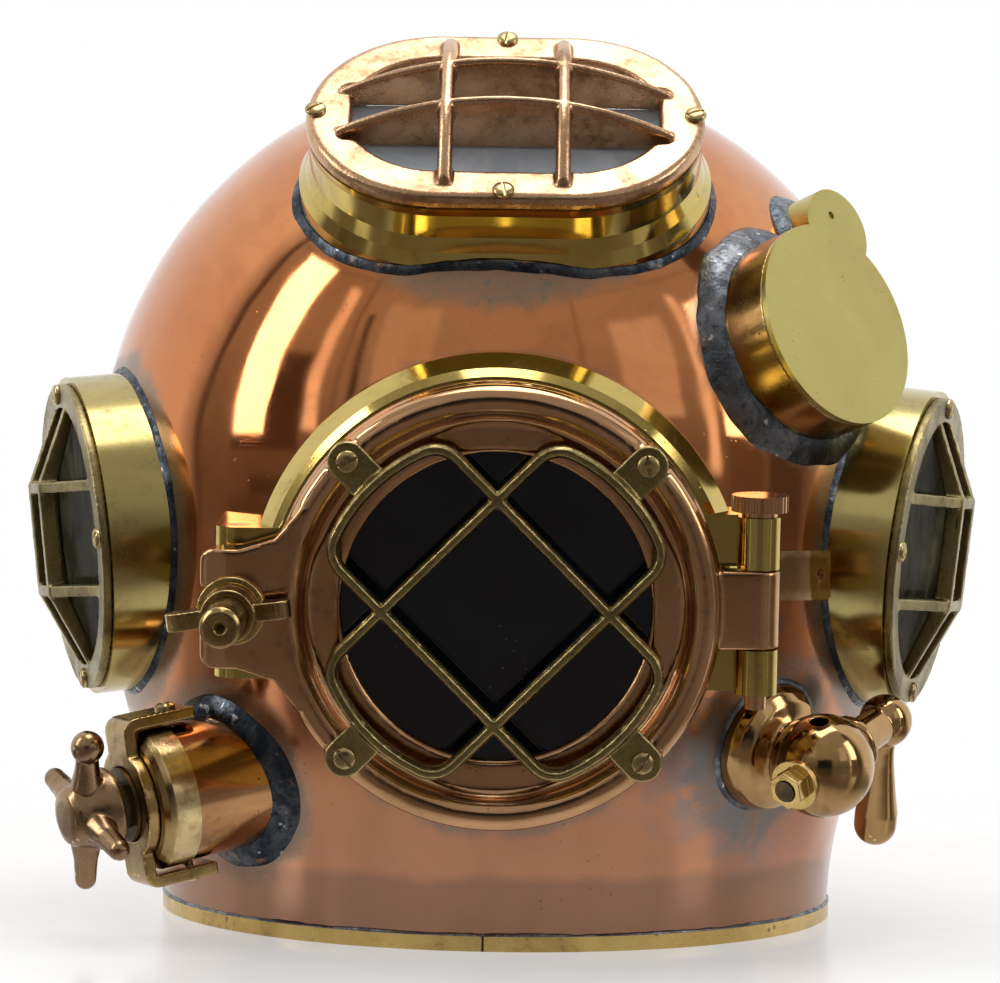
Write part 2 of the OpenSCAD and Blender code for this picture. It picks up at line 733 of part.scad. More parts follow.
module bolt_pin() {
  eye = clamp_eye_h / 2 + move_gap + clamp_lug_l;
  color(bronze) on_face() translate([-clamp_x, clamp_y - eye, -clamp_back]) rotate([-90, 0, 0])
    cylinder(r = bolt_pin_r, h = 2 * eye, $fn = 48);
}

// The eye is open at the back, so the door can carry the bolt off its pin
module swing_bolt() {
  color(bronze) on_face() translate([-clamp_x, clamp_y, -clamp_back]) difference() {
    union() {
      translate([0, -clamp_eye_h / 2, 0]) rotate([-90, 0, 0]) cylinder(r = clamp_lug_r - 1, h = clamp_eye_h);
      translate([0, 0, 1]) cylinder(r = bolt_r, h = clamp_back + bolt_out - 2.5);
      translate([0, 0, clamp_back + bolt_out - 1.5]) cylinder(r1 = bolt_r, r2 = bolt_r - 1.5, h = 1.5);
    }
    translate([0, -20, 0]) rotate([-90, 0, 0]) cylinder(r = bolt_pin_r + 0.3, h = 40, $fn = 48);
    // The way out follows the door's swing about its hinge
    intersection() {
      translate([hinge_x + clamp_x, -20, clamp_back - hinge_back]) rotate([-90, 0, 0])
        ring(eye_path + bolt_pin_r + 0.3, eye_path - bolt_pin_r - 0.3, 40);
      translate([-30, -25, -30]) cube([60, 50, 30]);
    }
    translate([0, 0, clamp_back + bolt_out - 3]) cylinder(r1 = 0.3, r2 = 2.4, h = 3.01, $fn = 32);
  }
}

module clamp_collar() {
  color(bronze) on_face() translate([-clamp_x, clamp_y, collar_z])
    ring(collar_r, bolt_r + pin_gap, collar_t);
}

module wing_nut() {
  color(brass) on_face() translate([-clamp_x, clamp_y, nut_z]) difference() {
    union() {
      cylinder(r = nut_r, h = nut_l * 0.35);
      translate([0, 0, nut_l * 0.35]) cylinder(r1 = nut_r, r2 = nut_r - 0.8, h = nut_l * 0.65);
      rotate([0, 0, wing_turn]) for (s = [0, 180]) rotate([0, 0, s])
        translate([0, wing_t / 2, 0]) rotate([90, 0, 0]) linear_extrude(wing_t) {
          polygon([[6, 2.5], [wing_reach - 4.5, 4], [wing_reach - 4.5, 13], [6, 11]]);
          translate([wing_reach - 4.5, 8.5]) circle(4.5, $fn = 32);
        }
    }
    translate([0, 0, -1]) cylinder(r = bolt_r + pin_gap, h = nut_l + 20);
  }
}

// Crown window

module crown_frame() {
  color(brass) difference() {
    union() {
      on_crown() oval_sweep() polygon([[crown_open_r - 0.5, -65], [crown_sleeve_r, -65],
        [crown_sleeve_r, -crown_ring_t], [crown_open_r - 0.5, -crown_ring_t]]);
      difference() {
        on_crown() oval_sweep() polygon([[crown_sleeve_r - 1, -65], [crown_foot_r, -65],
          [crown_foot_r, -31], [crown_foot_r - 2.6, -26], [crown_sleeve_r + 0.4, -20],
          [crown_sleeve_r + 0.4, -10], [crown_sleeve_r + 0.8, -crown_ring_t - 0.6],
          [crown_sleeve_r - 1, -crown_ring_t - 0.6]]);
        body_solid(joint_gap);
      }
    }
    inside();
    on_crown() translate([0, 0, -crown_ring_t - 0.5 - glass_t - 1.5])
      linear_extrude(40) oval(crown_open_r + 4.5);
    on_crown() crown_places() screw_hole(10);
  }
}

module crown_places() {
  edge = crown_ring_r - 4;
  for (p = [[crown_half + edge, 0], [-crown_half - edge, 0], [0, edge], [0, -edge]])
    translate([p[0], p[1], 0]) rotate([0, 0, p[0] * 0.6 + p[1]]) children();
}

module crown_glass() {
  color(clear) on_crown() translate([0, 0, -crown_ring_t - 0.5 - glass_t]) linear_extrude(glass_t)
    oval(crown_open_r + 4.5 - joint_gap);
}

module crown_gasket() {
  color(rubber) on_crown() translate([0, 0, -crown_ring_t - 2 - glass_t]) linear_extrude(1.5) difference() {
    oval(crown_open_r + 4.5 - joint_gap);
    oval(crown_open_r);
  }
}

module crown_guard() {
  end_x = crown_half + crown_open_r;
  arc_r = (end_x * end_x + crown_arch * crown_arch) / (2 * crown_arch);
  arc_a = asin((end_x + 3) / arc_r);
  short_h = sqrt(arc_r * arc_r - crown_short_x * crown_short_x) - arc_r + crown_arch;
  edge = crown_open_r + 5;
  color(bronze) on_crown() difference() {
    union() {
      oval_sweep() {
        polygon([[crown_open_r, -crown_ring_t], [crown_ring_r, -crown_ring_t], [crown_ring_r, -3],
          [crown_ring_r - 0.9, -0.9], [crown_ring_r - 3, 0], [crown_open_r + 1.5, 0], [crown_open_r, -1.5]]);
      }
      intersection() {
        for (s = [-1, 1]) translate([0, s * crown_long_y + crown_bar_w / 2, crown_arch - arc_r])
          rotate([90, 0, 0]) rotate([0, 0, 90 - arc_a]) rotate_extrude(angle = 2 * arc_a, $fn = 144)
            translate([arc_r - 9, -crown_bar_w]) square([9, crown_bar_w]);
        translate([-100, -40, -crown_ring_t]) cube([200, 80, 40]);
      }
      for (s = [-1, 1]) translate([s * crown_short_x - crown_bar_w / 2, 0, 0])
        rotate([90, 0, 90]) linear_extrude(crown_bar_w)
          polygon([[-edge, -1], [-crown_long_y, short_h], [crown_long_y, short_h], [edge, -1],
            [edge, -5], [crown_long_y, short_h - 8], [-crown_long_y, short_h - 8], [-edge, -5]]);
    }
    crown_places() screw_hole(10);
  }
}

module crown_screws() {
  color(old_brass) on_crown() crown_places() slotted_screw(9);
}

// Side windows

module side_frame(side) {
  color(brass) difference() {
    on_side(side) translate([0, 0, -60]) cylinder(r = side_r, h = 60);
    inside();
    on_side(side) translate([0, 0, -70]) cylinder(r = side_sight_r, h = 80);
    on_side(side) translate([0, 0, -glass_t - 3.4]) cylinder(r = side_glass_r + joint_gap, h = 40);
    on_side(side) side_places() screw_hole(8);
  }
}

module side_places() {
  for (a = [0:90:270]) rotate([0, 0, a]) translate([side_pcr, 0, 0]) rotate([0, 0, a / 2 + 20]) children();
}

module side_glass(side) {
  color(clear) on_side(side) translate([0, 0, -glass_t - 2]) cylinder(r = side_glass_r, h = glass_t);
}

module side_gasket(side) {
  color(rubber) on_side(side) translate([0, 0, -glass_t - 3.4]) ring(side_glass_r, side_sight_r, 1.4);
}

module cage_bar(off, cross, ends, crest) {
  translate([off - side_bar_w / 2, 0, 0]) rotate([90, 0, 90]) linear_extrude(side_bar_w)
    polygon([[-ends, 2.4], [-cross - 1, crest], [cross + 1, crest], [ends, 2.4],
      [ends, 0.4], [ends - 7, 0.4], [cross - 1, crest - 7], [1 - cross, crest - 7], [7 - ends, 0.4], [-ends, 0.4]]);
}

module side_guard(side) {
  ends_up = sqrt(pow(side_sight_r + 4, 2) - side_up_x * side_up_x);
  ends_level = sqrt(pow(side_sight_r + 4, 2) - side_level_y * side_level_y);
  color(old_brass) on_side(side) difference() {
    union() {
      ring(side_r - 2.4, side_sight_r + 0.5, side_ring_t);
      translate([0, 0, -1.8]) ring(side_glass_r - 0.4, side_sight_r + 0.5, 2.5);
      for (s = [-1, 1]) {
        cage_bar(s * side_up_x, side_level_y, ends_up, side_crest);
        rotate([0, 0, 90]) cage_bar(s * side_level_y, side_up_x, ends_level, side_crest);
      }
    }
    side_places() screw_hole(8);
  }
}

module side_screws(side) {
  color(old_brass) on_side(side) side_places() translate([0, 0, side_ring_t]) slotted_screw(side_ring_t + 6);
}

// Exhaust valve

module exhaust_body() {
  bore = exhaust_r - exhaust_wall;
  color(copper) {
    difference() {
      on_exhaust() translate([0, 0, -25]) ring(exhaust_r, bore, 25 + exhaust_l);
      inside();
    }
    // Seat plate of the valve, with three webs round its port
    on_exhaust() translate([0, 0, -1]) difference() {
      cylinder(r = bore + 0.5, h = 3);
      translate([0, 0, -1]) cylinder(r = 15, h = 5);
    }
  }
}

module exhaust_band() {
  color(brass) on_exhaust() translate([0, 0, exhaust_l + joint_gap]) rotate_extrude()
    polygon([[exhaust_hole_r, band_l - 3], [exhaust_r - 3.5, band_l - 3], [exhaust_r - 3.5, 0],
      [exhaust_r + 0.7, 0], [exhaust_r + 0.7, band_l * 0.7], [exhaust_r - 0.6, band_l * 0.86],
      [exhaust_r - 3, band_l * 0.97], [exhaust_r - 5, band_l], [exhaust_hole_r, band_l]]);
}

module exhaust_yoke() {
  back = exhaust_l + band_l + joint_gap + 0.3;
  arm_y = exhaust_r + 1.6;
  color(brass) on_exhaust() difference() {
    union() {
      translate([0, 0, back]) linear_extrude(yoke_t) {
        circle(exhaust_hole_r + 6.5);
        square([yoke_w, 2 * (arm_y - 1)], center = true);
      }
      for (s = [0, 180]) rotate([0, 0, s]) {
        // Round bend from the front plate into the arm
        translate([-yoke_w / 2, arm_y - 1, back - 1]) rotate([90, 0, 90]) linear_extrude(yoke_w)
          intersection() {
            difference() {
              circle(yoke_t + 1, $fn = 48);
              circle(1, $fn = 24);
            }
            square(20);
          }
        translate([-yoke_w / 2, arm_y, back - 1 - yoke_l + yoke_t]) cube([yoke_w, yoke_t, yoke_l - yoke_t]);
      }
    }
    translate([0, 0, back - 1]) cylinder(r = exhaust_hole_r, h = 20);
    yoke_places() screw_hole(10);
  }
}

module yoke_places() {
  for (s = [0, 180]) rotate([0, 0, s])
    translate([0, exhaust_r + 1.6 + yoke_t, exhaust_l - 3]) rotate([-90, 0, 0]) children();
}

module yoke_screws() {
  color(brass) on_exhaust() yoke_places() slotted_screw(yoke_t + 1);
}

module exhaust_stem() {
  color(bronze) on_exhaust() {
    translate([0, 0, 2.4]) cylinder(r = 19, h = 3);
    translate([0, 0, -26]) cylinder(r = 3.5, h = 26 + sleeve_z + 2.5, $fn = 32);
    translate([0, 0, -30]) rotate_extrude() polygon([[0, 0], [9, 0], [11, 1.4], [11, 3.4], [9, 4.6], [0, 5]]);
  }
}

// One unbroken coil, its rings worked out by formula
module exhaust_spring() {
  turns = 5;
  steps = 12;
  wire = 0.9;
  coil_r = 9;
  len = sleeve_z - 5.5 - chin_travel - wheel_travel - move_gap;
  n = turns * steps;
  pts = [for (i = [0:n], j = [0:5]) let (
      a = i * 360 / steps, b = j * 60, r = coil_r + wire * cos(b)
    ) [r * cos(a), r * sin(a), wire + 0.2 + (len - 2 * wire) * i / n + wire * sin(b)]];
  sides = [for (i = [0:n - 1], j = [0:5]) let (k = (j + 1) % 6) [i * 6 + j, i * 6 + k, (i + 1) * 6 + k, (i + 1) * 6 + j]];
  ends = [[5, 4, 3, 2, 1, 0], [for (j = [0:5]) n * 6 + j]];
  color(solder) on_exhaust() translate([0, 0, 5.5]) polyhedron(pts, concat(sides, ends), convexity = 6);
}

module exhaust_sleeve() {
  start = sleeve_z;
  color(rubber) on_exhaust() translate([0, 0, start]) difference() {
    union() {
      cylinder(r = exhaust_hole_r - move_gap, h = yoke_front - start + 1.4);
      cylinder(r = 9.5, h = wheel_back - start - 0.3, $fn = 6);
    }
    translate([0, 0, -1]) cylinder(r = 3.5 + move_gap, h = chin_travel + wheel_travel + 5, $fn = 32);
  }
}

module exhaust_wheel() {
  z = wheel_back;
  color(bronze) on_exhaust() rotate([0, 0, wheel_turn]) {
    translate([0, 0, z]) rotate_extrude() polygon([[0, 0], [15.6, 0], [16.2, 1.5], [15, 6], [12.6, 12],
      [11.6, 16.5], [10, 18.6], [7, 19.4], [0, 19.6]]);
    for (a = [0:90:270]) rotate([0, 0, a]) translate([0, 0, z + 10]) rotate([-90, 0, 0])
      rotate_extrude($fn = 48) intersection() {
        union() {
          polygon([[0, 4], [8, 4], [6.2, 12], [4.6, 20], [4.1, wheel_reach - 4.1], [0, wheel_reach - 4.1]]);
          translate([0, wheel_reach - 4.1]) circle(4.1, $fn = 32);
        }
        square(60);
      }
    translate([0, wheel_reach - wheel_ball_r + 2, z + 10]) sphere(wheel_ball_r, $fn = 48);
  }
}

// Spitcock

module spit_plug_frame() {
  translate(spit_ball()) towards(plug_axis) children();
}

module spitcock_body() {
  color(bronze) difference() {
    union() {
      difference() {
        on_spit() rotate_extrude() polygon([[0, -12], [spit_foot_r, -12], [spit_foot_r, 3],
          [spit_foot_r - 1.6, 6.6], [spit_foot_r - 5, 9.6], [spit_foot_r - 10, 11.6], [12.6, 13.2],
          [11, 15.5], [10.6, 18], [11.5, 22], [0, 22]]);
        body_solid(joint_gap);
      }
      translate(spit_ball()) sphere(spit_ball_r, $fn = 96);
    }
    on_spit() translate([0, 0, -15]) cylinder(r = goose_bore_r - 2, h = spit_out + 15, $fn = 48);
    spit_plug_frame() translate([0, 0, -40]) cylinder(r = plug_r + pin_gap, h = 80, $fn = 48);
    spit_plug_frame() for (s = [0, 180]) rotate([s, 0, 0]) translate([0, 0, spit_ball_r - 1.4])
      cylinder(r = 30, h = 20);
    translate(spit_ball()) towards([-0.112, -0.416, 0.888]) cylinder(r = spit_hole_r, h = 30, $fn = 32);
  }
}

module spitcock_plug() {
  end = spit_ball_r - 1.4;
  color(brass) spit_plug_frame() difference() {
    union() {
      translate([0, 0, -end - 1]) cylinder(r = plug_r, h = 2 * end + 1, $fn = 48);
      translate([0, 0, end]) cylinder(r = 4, h = 9.5, $fn = 32);
    }
    rotate([0, 90, 0]) translate([0, 0, -20]) cylinder(r = spit_hole_r, h = 40, $fn = 32);
  }
}

module spitcock_nut() {
  end = spit_ball_r - 1.4 + 0.3;
  color(brass) spit_plug_frame() difference() {
    union() {
      translate([0, 0, end]) cylinder(r = 9.6, h = 2.6);
      translate([0, 0, end + 2.6]) cylinder(r = 7.2, h = 6, $fn = 6);
    }
    cylinder(r = 4 + joint_gap / 2, h = 60, $fn = 32);
  }
}

module spitcock_lever() {
  end = spit_ball_r - 1.4 + 0.3;
  color(bronze) {
    spit_plug_frame() mirror([0, 0, 1]) difference() {
      rotate_extrude() polygon([[0, end], [11.2, end], [12, end + 1], [12, end + 3.4], [10.8, end + 4.6],
        [8.6, end + 5.4], [8, end + 9], [7.4, knob_out - 4], [0, knob_out - 4]]);
      cylinder(r = plug_r + joint_gap / 2, h = end + 1.1, $fn = 48);
    }
    translate(spit_ball() - knob_out * plug_axis / norm(plug_axis)) {
      sphere(knob_r, $fn = 64);
      towards(handle_axis) rotate_extrude($fn = 64) intersection() {
        union() {
          polygon([[0, 0], [5.6, 0], [4.6, knob_r + 2], [5, 18], [handle_r * 0.8, 30], [handle_r, 40],
            [handle_r, handle_l - handle_r], [0, handle_l - handle_r]]);
          translate([0, handle_l - handle_r]) circle(handle_r, $fn = 48);
        }
        square(90);
      }
    }
  }
}

// Telephone cups

module phone_cup() {
  color(brass) difference() {
    on_cup() translate([0, 0, -50]) ring(cup_r, cup_r - cup_t, 50 - cup_t);
    body_solid(joint_gap);
  }
}

module phone_lid() {
  color(brass) on_cup() translate([0, 0, -cup_t]) {
    cylinder(r = cup_r, h = cup_t);
    translate([0, 0, -2.5]) ring(cup_r - cup_t - joint_gap, cup_r - cup_t - 3, 2.6);
  }
}

module phone_unit() {
  color(rubber) on_cup() difference() {
    union() {
      translate([0, 0, -14]) cylinder(r = cup_r - cup_t - 0.4, h = 14 - cup_t - 2.8);
      translate([0, 0, -30]) cylinder(r = cup_r - 8.5, h = 17);
    }
    // Speech holes towards the inside
    for (i = [0:2]) for (j = [0:max(0, i * 6 - 1)])
      rotate([0, 0, j * 60 / max(1, i)]) translate([i * 9, 0, -31]) cylinder(r = 2.2, h = 5, $fn = 24);
  }
}

module small_cup() {
  color(brass) difference() {
    on_cup() translate([small_x, small_y, -small_back - 50]) cylinder(r = small_r, h = 50);
    on_cup() translate([small_x, small_y, -small_back - 51]) cylinder(r = small_r - cup_t, h = 51 - cup_t);
    on_cup() translate([small_x - 2, small_y + 6, -small_back - 1]) cylinder(r = 1.6, h = 5, $fn = 24);
    body_solid(joint_gap);
  }
}

module solder_fillets() {
  color(solder) {
    for (p = [[9, 2], [4.5, 4.2]]) difference() {
      intersection() {
        body_solid(p[1]);
        on_cup() union() {
          translate([0, 0, -60]) cylinder(r = cup_r + p[0], h = 60);
          translate([small_x, small_y, -70]) cylinder(r = small_r + p[0] * 0.8, h = 70);
        }
      }
      body_solid(joint_gap);
      on_cup() translate([0, 0, -70]) cylinder(r = cup_r + joint_gap, h = 90);
      on_cup() translate([small_x, small_y, -80]) cylinder(r = small_r + joint_gap, h = 90);
      on_left() translate([0, 0, -60]) cylinder(r = side_r + joint_gap, h = 90);
    }
    for (p = [[7, 1.8], [3.5, 3.6]]) difference() {
      intersection() {
        body_solid(p[1]);
        on_exhaust() translate([0, 0, -25]) cylinder(r = exhaust_r + p[0], h = 50);
      }
      body_solid(joint_gap);
      on_exhaust() translate([0, 0, -30]) cylinder(r = exhaust_r + joint_gap, h = 60);
    }
  }
}

// Rear fittings

module gooseneck(side) {
  down = goose_bend + 12;
  color(bronze) difference() {
    on_rear(rear_az + side * goose_az, goose_z) union() {
      translate([0, 0, -8]) cylinder(r = 23, h = 12);
      translate([0, 0, 4]) cylinder(r1 = 19, r2 = goose_r, h = 5);
      translate([0, 0, -8]) cylinder(r = goose_r, h = 22);
      translate([0, -goose_bend, 14]) rotate([0, -90, 0]) rotate_extrude(angle = 90, $fn = 72)
        translate([goose_bend, 0]) circle(goose_r, $fn = 48);
      translate([0, -goose_bend, 14 + goose_bend]) rotate([90, 0, 0]) {
        cylinder(r = goose_r, h = 10);
        translate([0, 0, 5]) cylinder(r = 17.5, h = 7, $fn = 6);
        translate([0, 0, 12]) cylinder(r = goose_thread_r, h = goose_thread_l);
      }
    }
    body_solid(joint_gap);
    on_rear(rear_az + side * goose_az, goose_z) {
      translate([0, 0, -20]) cylinder(r = goose_bore_r, h = 34, $fn = 48);
      translate([0, -goose_bend, 14]) rotate([0, -90, 0]) rotate_extrude(angle = 90, $fn = 72)
        translate([goose_bend, 0]) circle(goose_bore_r, $fn = 48);
      translate([0, -goose_bend, 14 + goose_bend]) rotate([90, 0, 0]) cylinder(r = goose_bore_r, h = 60, $fn = 48);
    }
  }
}

module duct_sector(r_out, r_in, half) {
  far = r_out * 1.2;
  rotate(rear_az - goose_az) intersection() {
    difference() {
      circle(r_out, $fn = 144);
      circle(r_in, $fn = 144);
    }
    polygon([[0, 0], [far, -far * tan(half)], [far, far * tan(half)]]);
  }
}

module air_duct() {
  r = sqrt(pow(dome_r - shell_t, 2) - pow(duct_z + 9 - dome_z, 2)) - 0.4;
  color(copper) difference() {
    union() {
      rotate([0, 0, 6]) rotate_extrude(angle = 168, $fn = 144) translate([r - 9, duct_z - 8]) square([9, 16]);
      translate([0, 0, goose_z - 14]) linear_extrude(duct_z - goose_z + 10) duct_sector(r - 0.3, r - 8.5, 5);
    }
    rotate([0, 0, 7]) rotate_extrude(angle = 166, $fn = 144) translate([r - 7.6, duct_z - 6.6]) square([9, 13.2]);
    translate([0, 0, goose_z - 12.6]) linear_extrude(duct_z - goose_z + 11) duct_sector(r + 1, r - 7.2, 4.4);
  }
}

module lock_frame() {
  translate([0, shell_r(lock_z) + 15, lock_z]) children();
}

module lock_bracket() {
  color(brass) difference() {
    union() {
      lock_frame() translate([-15, -24, -16]) cube([30, 16, 34]);
      for (s = [-1, 1]) lock_frame() translate([s * 11.2 - 2, 0, 0]) rotate([0, 90, 0]) cylinder(r = 6.5, h = 4, $fn = 48);
      for (s = [-1, 1]) lock_frame() translate([s * 11.2 - 2, -10, -6.5]) cube([4, 10, 13]);
    }
    body_solid(joint_gap);
    lock_frame() translate([-30, 0, 0]) rotate([0, 90, 0]) cylinder(r = 2.5, h = 60, $fn = 32);
    lock_frame() rotate([0, 90, 0]) translate([0, 0, -9.2 + move_gap]) cylinder(r = 8, h = 18.4 - 2 * move_gap);
  }
}

module lock_pin() {
  color(bronze) lock_frame() translate([-13.4, 0, 0]) rotate([0, 90, 0]) cylinder(r = 2.5, h = 26.8, $fn = 32);
}

module lock_lever() {
  color(brass) lock_frame() difference() {
    union() {
      translate([-8, 0, 0]) rotate([0, 90, 0]) cylinder(r = 6, h = 16, $fn = 48);
      translate([-4, -3, -24]) cube([8, 6, 22]);
      translate([-11, 0, -24]) rotate([0, 90, 0]) cylinder(r = 3.4, h = 22, $fn = 32);
      for (s = [-1, 1]) translate([s * 11, 0, -24]) rotate([0, 90, 0]) sphere(lock_ball_r, $fn = 48);
    }
    translate([-30, 0, 0]) rotate([0, 90, 0]) cylinder(r = 2.5 + pin_gap, h = 60, $fn = 32);
  }
}

bonnet();
neck_ring();
front_seat();
seat_gasket();
hinge_pin();
hinge_strap();
bolt_pin();
door();
door_glass();
door_gasket();
door_retainer();
door_guard();
door_screws();
swing_bolt();
clamp_collar();
wing_nut();
crown_frame();
crown_glass();
crown_gasket();
crown_guard();
crown_screws();
side_frame(1);  // left_frame
side_glass(1);  // left_glass
side_gasket(1);  // left_gasket
side_guard(1);  // left_guard
side_screws(1);  // left_screws
side_frame(-1);  // right_frame
side_glass(-1);  // right_glass
side_gasket(-1);  // right_gasket
side_guard(-1);  // right_guard
side_screws(-1);  // right_screws
exhaust_body();
exhaust_band();
exhaust_yoke();
yoke_screws();
exhaust_stem();
exhaust_spring();
exhaust_sleeve();
exhaust_wheel();
spitcock_body();
spitcock_plug();
spitcock_lever();
spitcock_nut();
phone_cup();
phone_lid();
phone_unit();
small_cup();
solder_fillets();
gooseneck(-1);  // air_gooseneck
gooseneck(1);  // phone_gooseneck
air_duct();
lock_bracket();
lock_pin();
lock_lever();
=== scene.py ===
"""Diving helmet on a pale table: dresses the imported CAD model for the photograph's view."""

import math

import bmesh
import bpy
from mathutils import Matrix, Vector, noise


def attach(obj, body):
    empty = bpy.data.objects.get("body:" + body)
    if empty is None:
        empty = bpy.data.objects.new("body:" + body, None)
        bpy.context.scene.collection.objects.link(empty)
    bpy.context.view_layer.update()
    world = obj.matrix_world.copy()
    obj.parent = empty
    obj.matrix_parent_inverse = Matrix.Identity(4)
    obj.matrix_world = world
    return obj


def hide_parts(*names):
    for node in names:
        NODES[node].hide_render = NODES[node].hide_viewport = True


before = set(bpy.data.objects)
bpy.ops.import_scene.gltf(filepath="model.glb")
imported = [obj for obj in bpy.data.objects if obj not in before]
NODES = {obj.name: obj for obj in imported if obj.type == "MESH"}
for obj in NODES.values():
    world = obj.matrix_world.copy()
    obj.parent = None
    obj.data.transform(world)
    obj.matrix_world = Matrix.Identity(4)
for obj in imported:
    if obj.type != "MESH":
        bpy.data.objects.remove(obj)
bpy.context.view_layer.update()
MM = 0.001

# Sizes, in millimetres

DOME_R, DOME_Z, SHELL_T = 169.0, 183.0, 2.4
NECK_R, FLARE_R = 139.2, 177.0
SIDE_R, SEAT_HOLE_R = 64.2, 82.3
CROWN_HALF, CROWN_RING_R, CROWN_OPEN_R, CROWN_SLEEVE_R = 24.8, 51.5, 40.5, 50.2
CUP_R, CUP_HOLE_R, SMALL_R, SMALL_X, SMALL_Y, SMALL_BACK = 40.0, 33.0, 17.2, 36.6, 47.6, 18.0
EXHAUST_R = 26.6
SLEEVE_ROOM, SOLDER_ROOM = 0.2, 0.1
COPPER_FOOT, NECK_SOLDER_Z, NECK_SOLDER_BACK = 5.9, 5.75, 138.0
SCREW_R, SCREW_PROUD, SHANK_R = 4.1, 1.9, 1.55

SIDE_DROP = DOME_R - NECK_R
ARC_SUM = (SIDE_DROP ** 2 + DOME_Z ** 2) / (2 * SIDE_DROP)
BELLY_R = ARC_SUM - FLARE_R
TURN_Z = FLARE_R * DOME_Z / ARC_SUM


def shell_r(z):
    """Radius of the copper's outside at a height."""
    if z > DOME_Z:
        return math.sqrt(max(DOME_R ** 2 - (z - DOME_Z) ** 2, 0))
    if z > TURN_Z:
        return DOME_R - BELLY_R + math.sqrt(BELLY_R ** 2 - (DOME_Z - z) ** 2)
    return NECK_R + FLARE_R - math.sqrt(FLARE_R ** 2 - z * z)


# Frames of the fittings

def move(x, y, z):
    return Matrix.Translation((x, y, z))


def turn(axis, degrees):
    return Matrix.Rotation(math.radians(degrees), 4, axis)


def foot(azimuth, z):
    """The place on the copper's outside at an azimuth and a height."""
    r, a = shell_r(z), math.radians(azimuth)
    return move(r * math.cos(a), r * math.sin(a), z)


def outward(azimuth, fall):
    """z points out of the helmet along an azimuth and falls, and y points up."""
    return turn("Z", azimuth) @ turn("Y", 90 + fall) @ turn("Z", 90)


WORLD = Matrix.Identity(4)
FACE = move(0, -185, 131) @ turn("X", 97)
CROWN = move(0, 0, DOME_Z) @ turn("X", 44.4) @ move(0, 0, 188.5)
LEFT = turn("Z", -19) @ move(180, 0, 153.5) @ turn("Y", 96.5) @ turn("Z", 90)
RIGHT = Matrix.Scale(-1, 4, (1, 0, 0)) @ LEFT
EXHAUST = foot(180 + 45.8, 60) @ outward(180 + 31.1, 10.5)
SPIT = foot(-47.1, 77.5) @ outward(-47.1, 11.5)
CUP = move(0, 0, DOME_Z) @ outward(-45.5, -17.3) @ move(0, 0, 191)
SMALL_CUP = CUP @ move(SMALL_X, SMALL_Y, -SMALL_BACK)


# Mesh helpers

def skin(rows, m, closed=True):
    """Faces between neighbouring rows of m points; closed also joins the last row to the first."""
    faces = []
    for i in range(rows if closed else rows - 1):
        k = (i + 1) % rows
        faces += [(i * m + j, k * m + j, k * m + (j + 1) % m, i * m + (j + 1) % m)
                  for j in range(m)]
    return faces


def lathe(profile, seg):
    """Turns a closed outline of radius and height about z."""
    verts = []
    for j in range(seg):
        a = math.radians(360.0 * j / seg)
        verts += [(r * math.cos(a), r * math.sin(a), z) for r, z in profile]
    return verts, skin(seg, len(profile))


def placed(shape, matrix):
    verts, faces = shape
    return [tuple(matrix @ Vector(v)) for v in verts], faces


def linked(name, bm):
    """A new object in the scene from a finished bmesh, which is freed."""
    mesh = bpy.data.meshes.new(name)
    bm.to_mesh(mesh)
    bm.free()
    obj = bpy.data.objects.new(name, mesh)
    bpy.context.scene.collection.objects.link(obj)
    return obj


def make(name, shapes, matrix=WORLD):
    """One object, in metres, from shapes in the millimetres of a fitting's frame."""
    bm = bmesh.new()
    for verts, faces in shapes:
        vs = [bm.verts.new((matrix @ Vector(v)) * MM) for v in verts]
        for f in faces:
            bm.faces.new([vs[i] for i in f])
    bmesh.ops.remove_doubles(bm, verts=bm.verts, dist=0.001 * MM)
    bmesh.ops.recalc_face_normals(bm, faces=bm.faces)
    return linked(name, bm)


def node_copy(name, node):
    """A new piece that starts from the shape of a CAD node."""
    bm = bmesh.new()
    bm.from_mesh(NODES[node].data)
    bmesh.ops.remove_doubles(bm, verts=bm.verts, dist=0.0001 * MM)
    return linked(name, bm)


def smooth(obj, degrees):
    """Shades an object smooth, with edges sharper than an angle left sharp."""
    for p in obj.data.polygons:
        p.use_smooth = True
    obj.data.set_sharp_from_angle(angle=math.radians(degrees))
    return obj


def settle(obj):
    """Applies the modifiers."""
    graph = bpy.context.evaluated_depsgraph_get()
    mesh = bpy.data.meshes.new_from_object(obj.evaluated_get(graph))
    old = obj.data
    obj.modifiers.clear()
    obj.data = mesh
    bpy.data.meshes.remove(old)
    return obj


def cast(obj, voxel, rounds, keep):
    """Fuses an object's parts and rounds its edges, as a casting's are."""
    fuse = obj.modifiers.new("fuse", "REMESH")
    fuse.mode, fuse.voxel_size, fuse.use_smooth_shade = "VOXEL", voxel * MM, True
    relax = obj.modifiers.new("round", "SMOOTH")
    relax.factor, relax.iterations = 0.5, rounds
    thin = obj.modifiers.new("thin", "DECIMATE")
    thin.ratio = keep
    settle(obj)
    for p in obj.data.polygons:
        p.use_smooth = True
    return obj


def finish_piece(obj, material, body, node):
    """Gives a piece its material and body, and hides the node that it stands for."""
    obj.data.materials.clear()
    obj.data.materials.append(material)
    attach(obj, body)
    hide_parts(node)


# Material helpers

